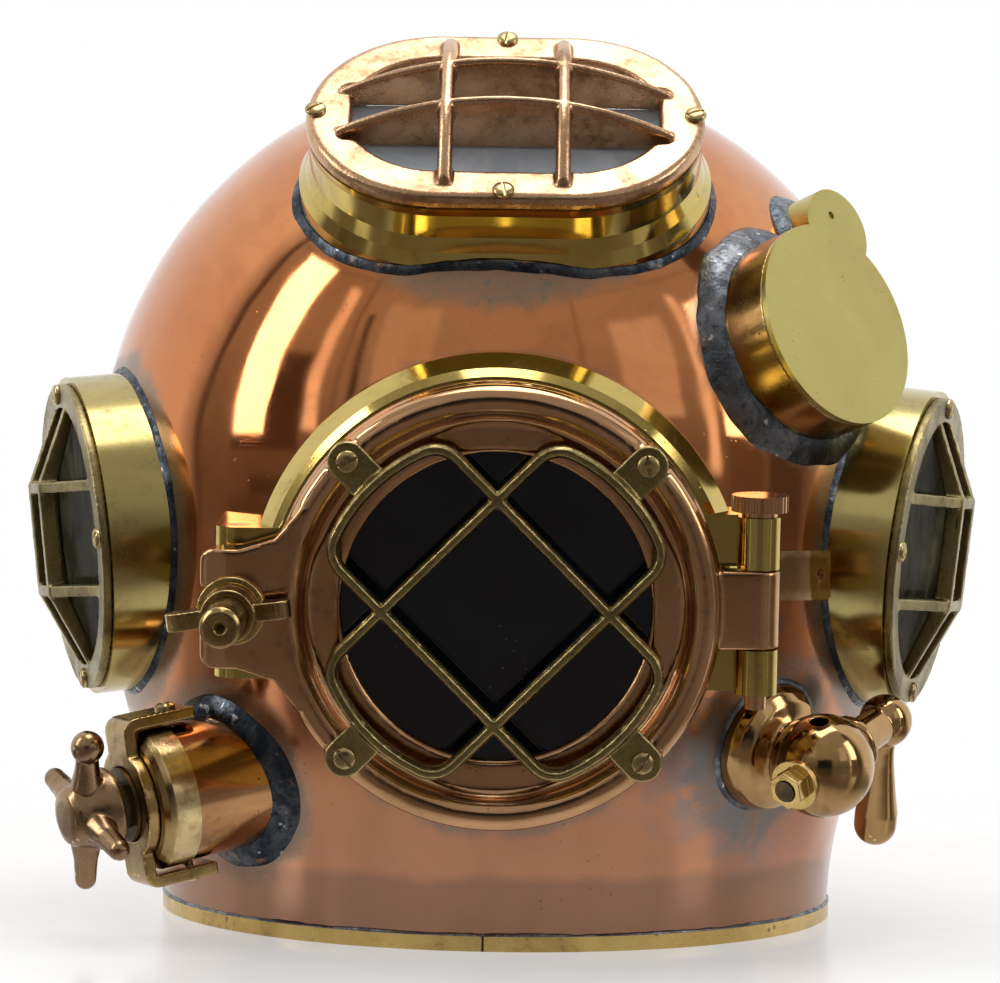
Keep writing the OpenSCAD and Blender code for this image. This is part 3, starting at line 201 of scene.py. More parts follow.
class Nodes:
    """Short calls that build a node tree."""

    def __init__(self, tree, coordinates):
        self.tree = tree
        self.coord = self.node("ShaderNodeTexCoord").outputs[coordinates]

    def node(self, kind, **settings):
        n = self.tree.nodes.new(kind)
        for key, value in settings.items():
            setattr(n, key, value)
        return n

    def put(self, socket, value):
        """Links a socket or sets its value; None leaves it as it is."""
        if isinstance(value, bpy.types.NodeSocket):
            self.tree.links.new(value, socket)
        elif value is not None:
            socket.default_value = value

    def scaled(self, stretch, spin):
        n = self.node("ShaderNodeMapping")
        self.put(n.inputs["Vector"], self.coord)
        n.inputs["Scale"].default_value = stretch
        n.inputs["Rotation"].default_value = [math.radians(a) for a in spin]
        return n.outputs["Vector"]

    def noise(self, scale, detail=4.0, rough=0.55, vector=None, distort=0.0):
        n = self.node("ShaderNodeTexNoise")
        self.put(n.inputs["Vector"], vector or self.coord)
        values = {"Scale": scale, "Detail": detail, "Roughness": rough, "Distortion": distort}
        for key, v in values.items():
            n.inputs[key].default_value = v
        return n.outputs["Fac"]

    def cells(self, scale, feature="F1", vector=None):
        n = self.node("ShaderNodeTexVoronoi", feature=feature)
        self.put(n.inputs["Vector"], vector or self.coord)
        n.inputs["Scale"].default_value = scale
        n.inputs["Randomness"].default_value = 1.0
        return n.outputs["Distance"]

    def math(self, operation, a, b=None):
        n = self.node("ShaderNodeMath", operation=operation)
        self.put(n.inputs[0], a)
        self.put(n.inputs[1], b)
        return n.outputs[0]

    def times(self, a, b):
        return self.math("MULTIPLY", a, b)

    def total(self, a, share_a, b, share_b):
        """The sum of a and b, each times its share."""
        return self.math("ADD", self.times(a, share_a), self.times(b, share_b))

    def map(self, x, lo, hi, to_lo=0.0, to_hi=1.0):
        """to_lo below lo, to_hi above hi and a smooth step between."""
        n = self.node("ShaderNodeMapRange", interpolation_type="SMOOTHSTEP")
        values = {"Value": x, "From Min": lo, "From Max": hi, "To Min": to_lo, "To Max": to_hi}
        for key, v in values.items():
            self.put(n.inputs[key], v)
        return n.outputs[0]

    def mix(self, fac, a, b):
        """Colour a where fac is 0, b where it is 1."""
        n = self.node("ShaderNodeMix", data_type="RGBA", blend_type="MIX")
        self.put(n.inputs["Factor"], fac)
        for socket, v in ((n.inputs[6], a), (n.inputs[7], b)):
            self.put(socket, (*v, 1) if isinstance(v, tuple) else v)
        return n.outputs[2]

    def specks(self, scale, lo, hi, group_scale, group_lo, group_hi):
        """Small round spots, gathered in groups."""
        spots = self.map(self.cells(scale), lo, hi, 1.0, 0.0)
        return self.times(spots, self.map(self.noise(group_scale, 3), group_lo, group_hi))

    def near(self, point, r0, r1):
        """1 within r0 millimetres of a point in millimetres, 0 beyond r1."""
        n = self.node("ShaderNodeVectorMath", operation="DISTANCE")
        self.put(n.inputs[0], self.coord)
        n.inputs[1].default_value = Vector(point) * MM
        return self.map(n.outputs["Value"], r0 * MM, r1 * MM, 1.0, 0.0)

    def axis(self, index):
        n = self.node("ShaderNodeSeparateXYZ")
        self.put(n.inputs[0], self.coord)
        return n.outputs[index]

    def pointiness(self):
        return self.node("ShaderNodeNewGeometry").outputs["Pointiness"]

    def bump(self, height, strength, distance, normal=None):
        """Raised by a height of up to distance millimetres, over an earlier normal."""
        n = self.node("ShaderNodeBump")
        self.put(n.inputs["Height"], height)
        n.inputs["Strength"].default_value = strength
        n.inputs["Distance"].default_value = distance * MM
        self.put(n.inputs["Normal"], normal)
        return n.outputs["Normal"]


class Shade(Nodes):
    """One material. Lengths in its textures are metres in the helmet's frame."""

    def __init__(self, name, metallic=1.0, roughness=0.3, colour=(0.5, 0.5, 0.5), ior=None):
        self.mat = bpy.data.materials.new(name)
        self.mat.use_nodes = True
        super().__init__(self.mat.node_tree, "Object")
        self.shader = self.tree.nodes["Principled BSDF"]
        self.put(self.shader.inputs["Metallic"], metallic)
        self.put(self.shader.inputs["Roughness"], roughness)
        self.put(self.shader.inputs["Base Color"], (*colour, 1))
        self.put(self.shader.inputs["IOR"], ior)

    def done(self, colour, rough, normal=None):
        self.put(self.shader.inputs["Base Color"], colour)
        self.put(self.shader.inputs["Roughness"], rough)
        self.put(self.shader.inputs["Normal"], normal)
        return self.mat


def metal(name, base, second, dull, rough, mottle, tarnish, pits, scratches,
          cast_grain=0.0, waves=0.0, edges=None, hollow_shade_and_dirt=None, brush=(1, 1, 6)):
    """A worn metal: two tones, dull patches, pits, fine scratches, worn edges, and hollow corners
    darkened with painted shade and dirt.
    """
    s = Shade(name)
    large = s.noise(mottle, 5, 0.6, distort=0.6)
    fine = s.noise(mottle * 9, 6, 0.65)
    colour = s.mix(s.map(large, 0.35, 0.68), base, second)
    patch = s.map(s.total(large, 0.55, fine, 0.45), 0.62 - tarnish * 0.32, 0.72)
    colour = s.mix(s.times(patch, 0.75), colour, dull)
    spots = s.specks(420, 0.10, 0.24, 90, 0.55, 0.68)
    pitted = tuple(c * 0.35 for c in dull)
    colour = s.mix(s.times(spots, min(1.0, pits * 1.6)), colour, pitted)
    # Painted shade: hollow corners are darkened where shade falls, and where dirt gathers.
    if hollow_shade_and_dirt:
        colour = s.mix(s.map(s.pointiness(), 0.42, 0.495, 0.9, 0.0), colour, hollow_shade_and_dirt)
    if edges:
        worn = s.map(s.pointiness(), 0.515, 0.58)
        rim = s.times(worn, s.map(s.noise(150, 4), 0.3, 0.6, 0.35, 1.0))
        colour = s.mix(rim, colour, edges)
    line_a = s.noise(900, 3, 0.6, s.scaled(brush, (18, 7, 0)))
    line_b = s.noise(1300, 2, 0.5, s.scaled((brush[2], brush[0], brush[1]), (0, 24, 51)))
    lines = s.total(line_a, 0.5, line_b, 0.5)
    r = s.map(s.total(large, 0.45, lines, 0.55), 0.36, 0.66, *rough)
    r = s.math("ADD", r, s.times(patch, 0.14))
    normal = s.bump(lines, 0.35 * scratches, 0.06)
    normal = s.bump(s.math("SUBTRACT", 1.0, spots), 0.6 * pits, 0.12, normal)
    if cast_grain:
        normal = s.bump(s.noise(620, 5, 0.62), cast_grain, 0.35, normal)
    if waves:
        normal = s.bump(s.noise(26, 2, 0.4), waves, 2.0, normal)
    return s.done(colour, r, normal)


# Materials

# A point on the copper under a fitting, and the two distances between which its dull ring fades.
DULL_RINGS = (
    (FACE @ Vector((0, 0, -14)), 84, 104), (SPIT @ Vector((0, 0, 0)), 24, 62),
    (EXHAUST @ Vector((0, 0, 0)), 30, 60), (CUP @ Vector((0, 0, -34)), 40, 62),
    (CROWN @ Vector((0, 0, -26)), 62, 88), (LEFT @ Vector((0, 0, -14)), 66, 88),
    (RIGHT @ Vector((0, 0, -14)), 66, 88),
)


def copper_material():
    """Beaten copper, polished: pinker low down, a painted reflection of the white table, dulled
    blue and grey-green beside the fittings.
    """
    copper, deep, cloudy = (0.68, 0.275, 0.108), (0.58, 0.213, 0.076), (0.48, 0.165, 0.07)
    table_reflection_pink, grey, grey_green = (0.39, 0.215, 0.15), (0.245, 0.215, 0.175), (0.16, 0.23, 0.20)
    grey_blue, brown, spot_brown = (0.20, 0.24, 0.27), (0.20, 0.13, 0.095), (0.16, 0.08, 0.05)
    s = Shade("copper_shell")
    z = s.axis(2)
    large = s.noise(11, 4, 0.55, distort=0.8)
    cloud = s.noise(48, 5, 0.62, distort=0.5)
    fine = s.noise(360, 5, 0.65)
    colour = s.mix(s.map(large, 0.36, 0.66), copper, deep)
    colour = s.mix(s.times(s.map(cloud, 0.46, 0.70), 0.35), colour, cloudy)
    # Painted reflection: the copper is paler pink low down, where it mirrors the white table.
    low = s.map(z, 0.035, 0.135, 1.0, 0.0)
    colour = s.mix(s.times(low, 0.65), colour, table_reflection_pink)
    rim = None
    for point, r0, r1 in DULL_RINGS:
        ring = s.near(point, r0, r1)
        rim = ring if rim is None else s.math("MAXIMUM", rim, ring)
    ragged = s.map(s.total(rim, 0.75, cloud, 0.62), 0.62, 1.02)
    colour = s.mix(s.times(ragged, 0.72), colour, grey)
    green = s.times(ragged, s.map(fine, 0.5, 0.72))
    colour = s.mix(s.times(green, 0.75), colour, grey_green)
    blue = s.times(s.near(SPIT @ Vector((-6, 4, 4)), 26, 78), s.map(cloud, 0.42, 0.62))
    colour = s.mix(s.times(blue, 0.6), colour, grey_blue)
    seam = s.map(s.math("ADD", z, s.times(s.noise(30, 3), 0.008)), 0.0285, 0.0345, 1.0, 0.0)
    colour = s.mix(s.times(seam, 0.55), colour, brown)
    dots = s.specks(260, 0.05, 0.13, 40, 0.5, 0.66)
    colour = s.mix(s.times(dots, 0.7), colour, spot_brown)
    web = s.cells(70, "DISTANCE_TO_EDGE", s.scaled((1, 1, 7), (24, 31, 12)))
    scratch = s.times(s.map(web, 0.0, 0.006, 1.0, 0.0), s.map(s.noise(22, 3), 0.57, 0.66))
    line_a = s.noise(700, 3, 0.6, s.scaled((1, 1, 9), (14, 9, 0)))
    line_b = s.noise(1000, 2, 0.5, s.scaled((7, 1, 1), (0, 24, 40)))
    lines = s.total(line_a, 0.5, line_b, 0.5)
    r = s.map(s.total(cloud, 0.5, lines, 0.5), 0.38, 0.66, 0.04, 0.095)
    for mask, dulling in ((ragged, 0.22), (low, 0.10), (scratch, 0.15)):
        r = s.math("ADD", r, s.times(mask, dulling))
    normal = s.bump(lines, 0.06, 0.04)
    normal = s.bump(s.math("SUBTRACT", 1.0, dots), 0.35, 0.10, normal)
    normal = s.bump(s.math("SUBTRACT", 1.0, scratch), 0.08, 0.03, normal)
    normal = s.bump(s.noise(17, 2, 0.45, distort=0.3), 0.25, 1.0, normal)
    normal = s.bump(s.noise(75, 3, 0.5), 0.05, 0.2, normal)
    return s.done(colour, r, normal)


def ring_brass_material():
    """The neck ring's brass, with one fine scribed line at the front."""
    line_x, line_half, line_edge, front_y = -0.0034, 0.0003, 0.0006, -0.12
    s = Shade("neck_ring_brass")
    large = s.noise(30, 5, 0.6, distort=0.7)
    fine = s.noise(300, 5, 0.65)
    colour = s.mix(s.map(large, 0.36, 0.66), (0.66, 0.47, 0.17), (0.54, 0.36, 0.12))
    dull = s.map(s.total(large, 0.5, fine, 0.5), 0.54, 0.68, 0.0, 0.75)
    colour = s.mix(dull, colour, (0.24, 0.17, 0.085))
    x, y = s.axis(0), s.axis(1)
    aside = s.math("ABSOLUTE", s.math("ADD", x, -line_x))
    line = s.times(s.map(aside, line_half, line_edge, 1.0, 0.0), s.math("LESS_THAN", y, front_y))
    colour = s.mix(line, colour, (0.05, 0.03, 0.02))
    dents = s.specks(160, 0.10, 0.22, 50, 0.5, 0.64)
    colour = s.mix(s.times(dents, 0.7), colour, (0.13, 0.09, 0.05))
    lines = s.noise(900, 3, 0.6, s.scaled((1, 1, 8), (4, 3, 0)))
    r = s.map(s.total(large, 0.5, lines, 0.5), 0.38, 0.64, 0.20, 0.36)
    normal = s.bump(lines, 0.16, 0.05)
    normal = s.bump(s.math("SUBTRACT", 1.0, dents), 0.5, 0.2, normal)
    normal = s.bump(s.noise(60, 3, 0.5), 0.20, 0.5, normal)
    return s.done(colour, r, normal)


def solder_material(name, dark, light, hollow, shine):
    """Soft solder: grey, lumpy, with painted bright glints, and blue-black in its hollows."""
    rust, painted_glint_white = (0.30, 0.17, 0.09), (0.72, 0.72, 0.71)
    s = Shade(name)
    cloud = s.noise(70, 5, 0.6, distort=0.8)
    fine = s.noise(420, 5, 0.65)
    colour = s.mix(s.map(cloud, 0.36, 0.64), dark, light)
    colour = s.mix(s.map(fine, 0.5, 0.72, 0.0, 0.8), colour, hollow)
    colour = s.mix(s.map(s.noise(140, 3), 0.60, 0.74, 0.0, 0.55), colour, rust)
    # Painted highlight: near-white glints stand in for light caught on the lumps.
    glint = s.map(s.noise(230, 2, 0.5), 0.66, 0.74)
    colour = s.mix(s.times(glint, shine), colour, painted_glint_white)
    r = s.math("SUBTRACT", s.map(fine, 0.35, 0.65, 0.24, 0.50), s.times(glint, 0.12))
    normal = s.bump(s.noise(160, 4, 0.6), 0.6, 0.9)
    normal = s.bump(fine, 0.35, 0.25, normal)
    return s.done(colour, r, normal)


def glass_material(name, dark, light, rough=(0.01, 0.06), ior=1.52):
    """Thick old plate with light wipe marks. It lets no light through: its colour is what the
    photograph shows in the window, nearly black at the door and pale under the crown's guard."""
    s = Shade(name, metallic=0.0, roughness=0.03, colour=(0.006, 0.007, 0.008), ior=ior)
    haze = s.noise(22, 5, 0.6, distort=1.2)
    wipe = s.noise(60, 4, 0.6, s.scaled((1, 5, 1), (0, 0, 32)))
    # Painted light and shade: the colour stands for what shows through the window, shade inside the
    # helmet at the door and side windows, light under the crown's guard.
    colour = s.mix(s.map(haze, 0.40, 0.70), dark, light)
    specks = s.specks(330, 0.06, 0.16, 30, 0.52, 0.66)
    colour = s.mix(s.times(specks, 0.5), colour, (0.12, 0.13, 0.13))
    r = s.map(s.total(haze, 0.5, wipe, 0.5), 0.38, 0.66, *rough)
    return s.done(colour, r, s.bump(s.noise(9, 2), 0.04, 1.0))


def rubber_material():
    s = Shade("rubber_black", metallic=0.0, roughness=0.6, colour=(0.03, 0.03, 0.03))
    n = s.noise(260, 5, 0.6)
    colour = s.mix(s.map(n, 0.4, 0.65), (0.020, 0.020, 0.021), (0.060, 0.055, 0.048))
    return s.done(colour, s.map(n, 0.35, 0.65, 0.45, 0.75), s.bump(n, 0.35, 0.2))


COPPER = copper_material()
RING_BRASS = ring_brass_material()
SOLDER = solder_material(
    "solder_grey", (0.075, 0.085, 0.10), (0.22, 0.23, 0.25), (0.028, 0.034, 0.044), 0.7)
SOLDER_DARK = solder_material(
    "solder_dark", (0.022, 0.028, 0.038), (0.085, 0.095, 0.11), (0.012, 0.015, 0.02), 0.45)
# The door's and side windows' glass is painted shade; the crown's pale glass is painted light.
GLASS = glass_material("window_glass", (0.0012, 0.0016, 0.003), (0.004, 0.005, 0.008))
PAINTED_LIGHT_GLASS = glass_material("window_glass_pale", (0.40, 0.46, 0.53), (0.56, 0.61, 0.67))
SIDE_GLASS = glass_material(
    "window_glass_side", (0.022, 0.021, 0.012), (0.080, 0.074, 0.045), (0.12, 0.30), 1.02)
RUBBER = rubber_material()
BRASS = metal(
    "frame_brass", (0.60, 0.46, 0.14), (0.50, 0.36, 0.10), (0.22, 0.155, 0.06), (0.05, 0.15),
    mottle=28, tarnish=0.28, pits=0.25, scratches=0.22, waves=0.06)
SIDE_BRASS = metal(
    "side_brass", (0.52, 0.43, 0.17), (0.44, 0.35, 0.135), (0.20, 0.15, 0.07), (0.10, 0.24),
    mottle=26, tarnish=0.3, pits=0.3, scratches=0.4, waves=0.05)
CUP_BRASS = metal(
    "cup_brass", (0.56, 0.49, 0.17), (0.50, 0.42, 0.145), (0.33, 0.27, 0.10), (0.26, 0.40),
    mottle=22, tarnish=0.18, pits=0.35, scratches=0.9, waves=0.12, brush=(1, 1, 14))
DOOR_BRONZE = metal(
    "door_bronze", (0.62, 0.36, 0.19), (0.50, 0.285, 0.14), (0.20, 0.115, 0.065), (0.07, 0.20),
    mottle=24, tarnish=0.22, pits=0.35, scratches=0.5, waves=0.12, hollow_shade_and_dirt=(0.09, 0.055, 0.03))
GUARD_BRASS = metal(
    "guard_brass", (0.40, 0.32, 0.13), (0.30, 0.235, 0.09), (0.11, 0.085, 0.04), (0.16, 0.34),
    mottle=60, tarnish=0.45, pits=0.5, scratches=0.5, cast_grain=0.30, edges=(0.86, 0.72, 0.42),
    hollow_shade_and_dirt=(0.06, 0.043, 0.025))
CROWN_BRONZE = metal(
    "crown_bronze", (0.66, 0.42, 0.25), (0.50, 0.295, 0.16), (0.14, 0.075, 0.042), (0.18, 0.36),
    mottle=42, tarnish=0.40, pits=0.4, scratches=0.5, cast_grain=0.32, edges=(0.92, 0.72, 0.50),
    hollow_shade_and_dirt=(0.07, 0.035, 0.018))
OLIVE_CAST = metal(
    "olive_bronze", (0.33, 0.265, 0.12), (0.25, 0.20, 0.09), (0.10, 0.08, 0.04), (0.26, 0.44),
    mottle=46, tarnish=0.50, pits=0.5, scratches=0.4, cast_grain=0.45, edges=(0.74, 0.58, 0.30),
    hollow_shade_and_dirt=(0.045, 0.034, 0.018))
OLD_BRASS = metal(
    "old_brass_brown", (0.42, 0.29, 0.12), (0.32, 0.215, 0.085), (0.12, 0.08, 0.04), (0.13, 0.30),
    mottle=44, tarnish=0.35, pits=0.45, scratches=0.5, cast_grain=0.08, edges=(0.80, 0.62, 0.32),
    hollow_shade_and_dirt=(0.05, 0.035, 0.02))
SCREW_BRASS = metal(
    "screw_brass", (0.52, 0.40, 0.19), (0.42, 0.31, 0.14), (0.16, 0.12, 0.06), (0.18, 0.36),
    mottle=130, tarnish=0.4, pits=0.5, scratches=0.6, edges=(0.84, 0.70, 0.42),
    hollow_shade_and_dirt=(0.05, 0.04, 0.025))
LUG_BRASS = metal(
    "lug_brass", (0.58, 0.46, 0.16), (0.48, 0.36, 0.12), (0.16, 0.11, 0.05), (0.10, 0.24),
    mottle=50, tarnish=0.38, pits=1.0, scratches=0.5, cast_grain=0.10, edges=(0.86, 0.68, 0.36),
    hollow_shade_and_dirt=(0.05, 0.035, 0.02))
WHEEL_BRONZE = metal(
    "wheel_bronze", (0.36, 0.235, 0.13), (0.29, 0.185, 0.10), (0.13, 0.08, 0.045), (0.18, 0.32),
    mottle=40, tarnish=0.28, pits=0.4, scratches=0.5, cast_grain=0.10, edges=(0.88, 0.70, 0.50),
    hollow_shade_and_dirt=(0.06, 0.04, 0.025))
COCK_BRONZE = metal(
    "cock_bronze", (0.50, 0.31, 0.135), (0.40, 0.24, 0.10), (0.16, 0.095, 0.045), (0.05, 0.15),
    mottle=36, tarnish=0.28, pits=0.3, scratches=0.3, edges=(0.82, 0.60, 0.34),
    hollow_shade_and_dirt=(0.04, 0.028, 0.018))
DARK_BRASS = metal(
    "dark_brass", (0.16, 0.11, 0.055), (0.10, 0.075, 0.045), (0.05, 0.04, 0.03), (0.30, 0.5),
    mottle=90, tarnish=0.5, pits=0.5, scratches=0.5, cast_grain=0.2)
NUT_BRASS = metal(
    "nut_brass", (0.70, 0.50, 0.19), (0.60, 0.41, 0.14), (0.26, 0.18, 0.08), (0.16, 0.30),
    mottle=80, tarnish=0.35, pits=0.4, scratches=0.8, edges=(0.92, 0.76, 0.44),
    hollow_shade_and_dirt=(0.05, 0.035, 0.02))
VALVE_COPPER = metal(
    "valve_copper", (0.56, 0.30, 0.14), (0.46, 0.235, 0.10), (0.16, 0.10, 0.06), (0.07, 0.18),
    mottle=30, tarnish=0.35, pits=0.5, scratches=0.3, waves=0.06)
PIN_STEEL = metal(
    "pin_steel", (0.34, 0.34, 0.34), (0.26, 0.255, 0.25), (0.12, 0.115, 0.11), (0.25, 0.42),
    mottle=120, tarnish=0.4, pits=0.5, scratches=0.8)
DUCT_BRASS = metal(
    "inner_copper", (0.34, 0.17, 0.09), (0.26, 0.13, 0.07), (0.10, 0.06, 0.04), (0.32, 0.5),
    mottle=30, tarnish=0.5, pits=0.4, scratches=0.3)

# The CAD nodes that stay in sight
FINISH = {
    "neck_ring": RING_BRASS, "front_seat": BRASS, "seat_gasket": RUBBER, "hinge_pin": DOOR_BRONZE,
    "hinge_strap": COCK_BRONZE, "bolt_pin": PIN_STEEL, "door_glass": GLASS, "door_gasket": RUBBER,
    "crown_frame": BRASS, "crown_glass": PAINTED_LIGHT_GLASS, "crown_gasket": RUBBER,
    "left_frame": SIDE_BRASS, "left_glass": SIDE_GLASS, "left_gasket": RUBBER,
    "right_frame": SIDE_BRASS, "right_glass": SIDE_GLASS, "right_gasket": RUBBER,
    "exhaust_body": VALVE_COPPER, "exhaust_band": OLD_BRASS, "yoke_screws": SCREW_BRASS,
    "exhaust_stem": OLD_BRASS, "exhaust_spring": PIN_STEEL, "exhaust_sleeve": DARK_BRASS,
    "spitcock_plug": DARK_BRASS, "phone_lid": CUP_BRASS, "phone_unit": DARK_BRASS,
    "small_cup": CUP_BRASS, "air_gooseneck": BRASS, "phone_gooseneck": BRASS,
    "air_duct": DUCT_BRASS, "lock_pin": PIN_STEEL,
}
for node_name, finish in FINISH.items():
    for slot in NODES[node_name].material_slots:
        slot.material = finish


# Camera, table, light

# The photograph's camera: its place in metres, its view's directions, its focal length in pixels.
EYE = (0.0110, -1.2719, 0.1665)
FORWARD, RIGHTWARD = (-0.0094, 0.9999, 0.0063), (0.9998, 0.0093, 0.0166)
FOCAL_PX, PHOTO_WIDTH_PX, SENSOR = 2999.6, 1000.0, 36.0


def make_camera():
    data = bpy.data.cameras.new("camera")
    data.sensor_fit, data.sensor_width = "HORIZONTAL", SENSOR
    data.lens = FOCAL_PX * SENSOR / PHOTO_WIDTH_PX
    data.clip_start, data.clip_end = 0.01, 50.0
    cam = bpy.data.objects.new("camera", data)
    forward = Vector(FORWARD).normalized()
    right = Vector(RIGHTWARD)
    right = (right - forward * right.dot(forward)).normalized()
    up = right.cross(forward)
    m = Matrix((right, up, -forward)).transposed().to_4x4()
    m.translation = Vector(EYE)
    cam.matrix_world = m
    bpy.context.scene.collection.objects.link(cam)
    bpy.context.scene.camera = cam
    bpy.context.scene.view_settings.view_transform = "Standard"


def table_material():
    """White and glossy. It glows for the camera and in reflections towards the wall, so that the
    backdrop stays white, and it mirrors darker in the metal just before and beside the helmet."""
    s = Shade("table_white", metallic=0.0, roughness=0.16, colour=(0.9, 0.9, 0.9), ior=1.45)
    y, x = s.axis(1), s.axis(0)
    path = s.node("ShaderNodeLightPath")
    side = s.times(s.map(s.math("ABSOLUTE", x), 0.65, 1.1), s.map(y, 0.1, 0.4, 1.0, 0.0))
    away = s.math("SQRT", s.math("ADD", s.times(x, x), s.times(y, y)))
    front = s.times(s.map(away, 0.17, 0.29), s.map(y, -0.02, 0.12, 1.0, 0.0))
    dark = s.math("MAXIMUM", front, side)
    mirrored = s.times(dark, path.outputs["Is Glossy Ray"])
    mottled = s.mix(s.noise(6, 3), (0.94, 0.94, 0.94), (0.97, 0.97, 0.97))
    colour = s.mix(mirrored, mottled, (0.15, 0.125, 0.11))
    s.done(colour, s.map(s.noise(40, 3), 0.3, 0.7, 0.12, 0.19))
    glow = s.node("ShaderNodeEmission")
    glow.inputs["Strength"].default_value = 1.0
    blend = s.node("ShaderNodeMixShader")
    wall = s.map(y, 0.28, 0.62, 0.4, 1.0)
    rays = s.math("MAXIMUM", path.outputs["Is Camera Ray"], path.outputs["Is Glossy Ray"])
    s.put(blend.inputs[0], s.times(s.times(wall, rays), s.math("SUBTRACT", 1.0, mirrored)))
    s.put(blend.inputs[1], s.shader.outputs[0])
    s.put(blend.inputs[2], glow.outputs[0])
    s.put(s.tree.nodes["Material Output"].inputs["Surface"], blend.outputs[0])
    return s.mat


def make_table():
    """A white glossy table that bends up into the wall behind, in metres."""
    half_width, depth, rise, bend, floor = 3.5, 2.2, 2.2, 0.7, -0.0002
    line = [(-half_width, floor), (depth - bend, floor)]
    line += [(depth - bend + bend * math.sin(a), floor + bend - bend * math.cos(a))
             for a in [math.radians(9 * i) for i in range(1, 11)]]
    line += [(depth, rise)]
    verts = [(x, y, z) for x in (-half_width, half_width) for y, z in line]
    n = len(line)
    mesh = bpy.data.meshes.new("table")
    mesh.from_pydata(verts, [], [(i, n + i, n + i + 1, i + 1) for i in range(n - 1)])
    table = bpy.data.objects.new("table", mesh)
    bpy.context.scene.collection.objects.link(table)
    for p in mesh.polygons:
        p.use_smooth = True
    mesh.materials.append(table_material())


# What the metal mirrors. Azimuth is 0 towards the camera and negative to its left. Each thing in
# the room: two azimuths and two heights, in degrees, and its colour. The later ones lie on top.
ROOM = (
    (-82, -57, 3, 28, (0.10, 0.075, 0.06)),
    (-74, -55, -14, 0, (0.09, 0.07, 0.055)),
    (-96, -91, -30, 70, (0.12, 0.10, 0.09)),
    (-50, -47, -20, 60, (0.22, 0.19, 0.17)),
    (-40, -20, 20, 44, (0.62, 0.60, 0.57)),
    (-17, 17, -24, 17, (0.022, 0.022, 0.027)),
    (22, 25, -20, 60, (0.26, 0.23, 0.20)),
    (34, 54, 12, 40, (0.75, 0.75, 0.73)),
    (64, 78, -12, 22, (0.16, 0.13, 0.11)),
    (-180, 180, 47, 49.5, (0.30, 0.28, 0.26)),
    (-58, -52, 8, 46, (1.5, 1.48, 1.42)),
    (-46, -42, 12, 40, (0.07, 0.055, 0.05)),
    (58, 63, 0, 44, (1.3, 1.3, 1.28)),
    (78, 92, -30, 60, (0.10, 0.085, 0.075)),
)
ROOM_EDGE, DEGREES, WHITE = 2.0, 57.2958, (1.0, 1.0, 1.0)


def make_world():
    """A light room: white behind the helmet, warm grey walls and darker things before it."""
    world = bpy.data.worlds.new("room")
    world.use_nodes = True
    bpy.context.scene.world = world
    s = Nodes(world.node_tree, "Generated")
    x, y, z = s.axis(0), s.axis(1), s.axis(2)
    azimuth = s.times(s.math("ARCTAN2", x, s.times(y, -1.0)), DEGREES)
    height = s.times(s.math("ARCSINE", z), DEGREES)

    def between(angle, a0, a1):
        return s.times(s.map(angle, a0, a0 + ROOM_EDGE), s.map(angle, a1 - ROOM_EDGE, a1, 1.0, 0.0))

    colour = s.mix(s.map(height, -6, 34), (0.17, 0.15, 0.135), (0.46, 0.44, 0.42))
    colour = s.mix(s.map(height, -14, -2, 1.0, 0.0), colour, (0.055, 0.045, 0.04))
    for a0, a1, h0, h1, tone in ROOM:
        thing = s.times(between(azimuth, a0, a1), between(height, h0, h1))
        colour = s.mix(thing, colour, tone)
    behind = s.map(s.math("ABSOLUTE", azimuth), 92, 104)
    colour = s.mix(behind, colour, WHITE)
    background = s.tree.nodes["Background"]
    path = s.node("ShaderNodeLightPath")
    s.put(background.inputs["Color"], s.mix(path.outputs["Is Camera Ray"], colour, WHITE))
    background.inputs["Strength"].default_value = 1.0


def lamp(name, where, size, power, colour=(1, 1, 1)):
    """A rectangular lamp that faces the helmet."""
    data = bpy.data.lights.new(name, "AREA")
    data.shape, data.size, data.size_y = "RECTANGLE", size[0], size[1]
    data.energy, data.color = power, colour
    obj = bpy.data.objects.new(name, data)
    obj.location = where
    obj.rotation_euler = (Vector(LIT_PLACE) - Vector(where)).to_track_quat("-Z", "Y").to_euler()
    bpy.context.scene.collection.objects.link(obj)


make_camera()
make_table()
make_world()
LIT_PLACE, WARM = (0, 0, 0.2), (1.0, 0.99, 0.97)
lamp("top_light", where=(0.1, -0.1, 1.7), size=(1.1, 0.8), power=11.0)
lamp("left_light", where=(-1.5, -0.5, 1.0), size=(0.35, 1.3), power=9.0, colour=WARM)
lamp("right_light", where=(1.5, -0.6, 0.9), size=(0.4, 1.0), power=5.0, colour=WARM)


# The copper and its solder

# Each opening in the copper: its fitting's frame, its radius, and half of the length between the
# two round ends of an oval one.
HOLES = (
    (FACE, SEAT_HOLE_R, 0.0), (CROWN, CROWN_SLEEVE_R + SLEEVE_ROOM, CROWN_HALF),
    (LEFT, SIDE_R + SLEEVE_ROOM, 0.0), (RIGHT, SIDE_R + SLEEVE_ROOM, 0.0),
    (EXHAUST, EXHAUST_R + SLEEVE_ROOM, 0.0), (CUP, CUP_HOLE_R, 0.0),
)


def outside_hole(frame_inverse, p, r, half):
    """How far a point lies outside a hole's rim, less than 0 inside it."""
    far_side = -75
    q = frame_inverse @ p
    if q.z < far_side:
        return math.inf
    return math.hypot(max(abs(q.x) - half, 0.0), q.y) - r


def on_shell(matrix, x, y):
    """Height over a fitting's frame at which the copper lies, found by halving."""
    lo, hi = -115.0, 40.0
    for _ in range(34):
        mid = (lo + hi) / 2
        p = matrix @ Vector((x, y, mid))
        out = p.z > DOME_Z + DOME_R or math.hypot(p.x, p.y) > shell_r(p.z)
        lo, hi = (lo, mid) if out else (mid, hi)
    return (lo + hi) / 2


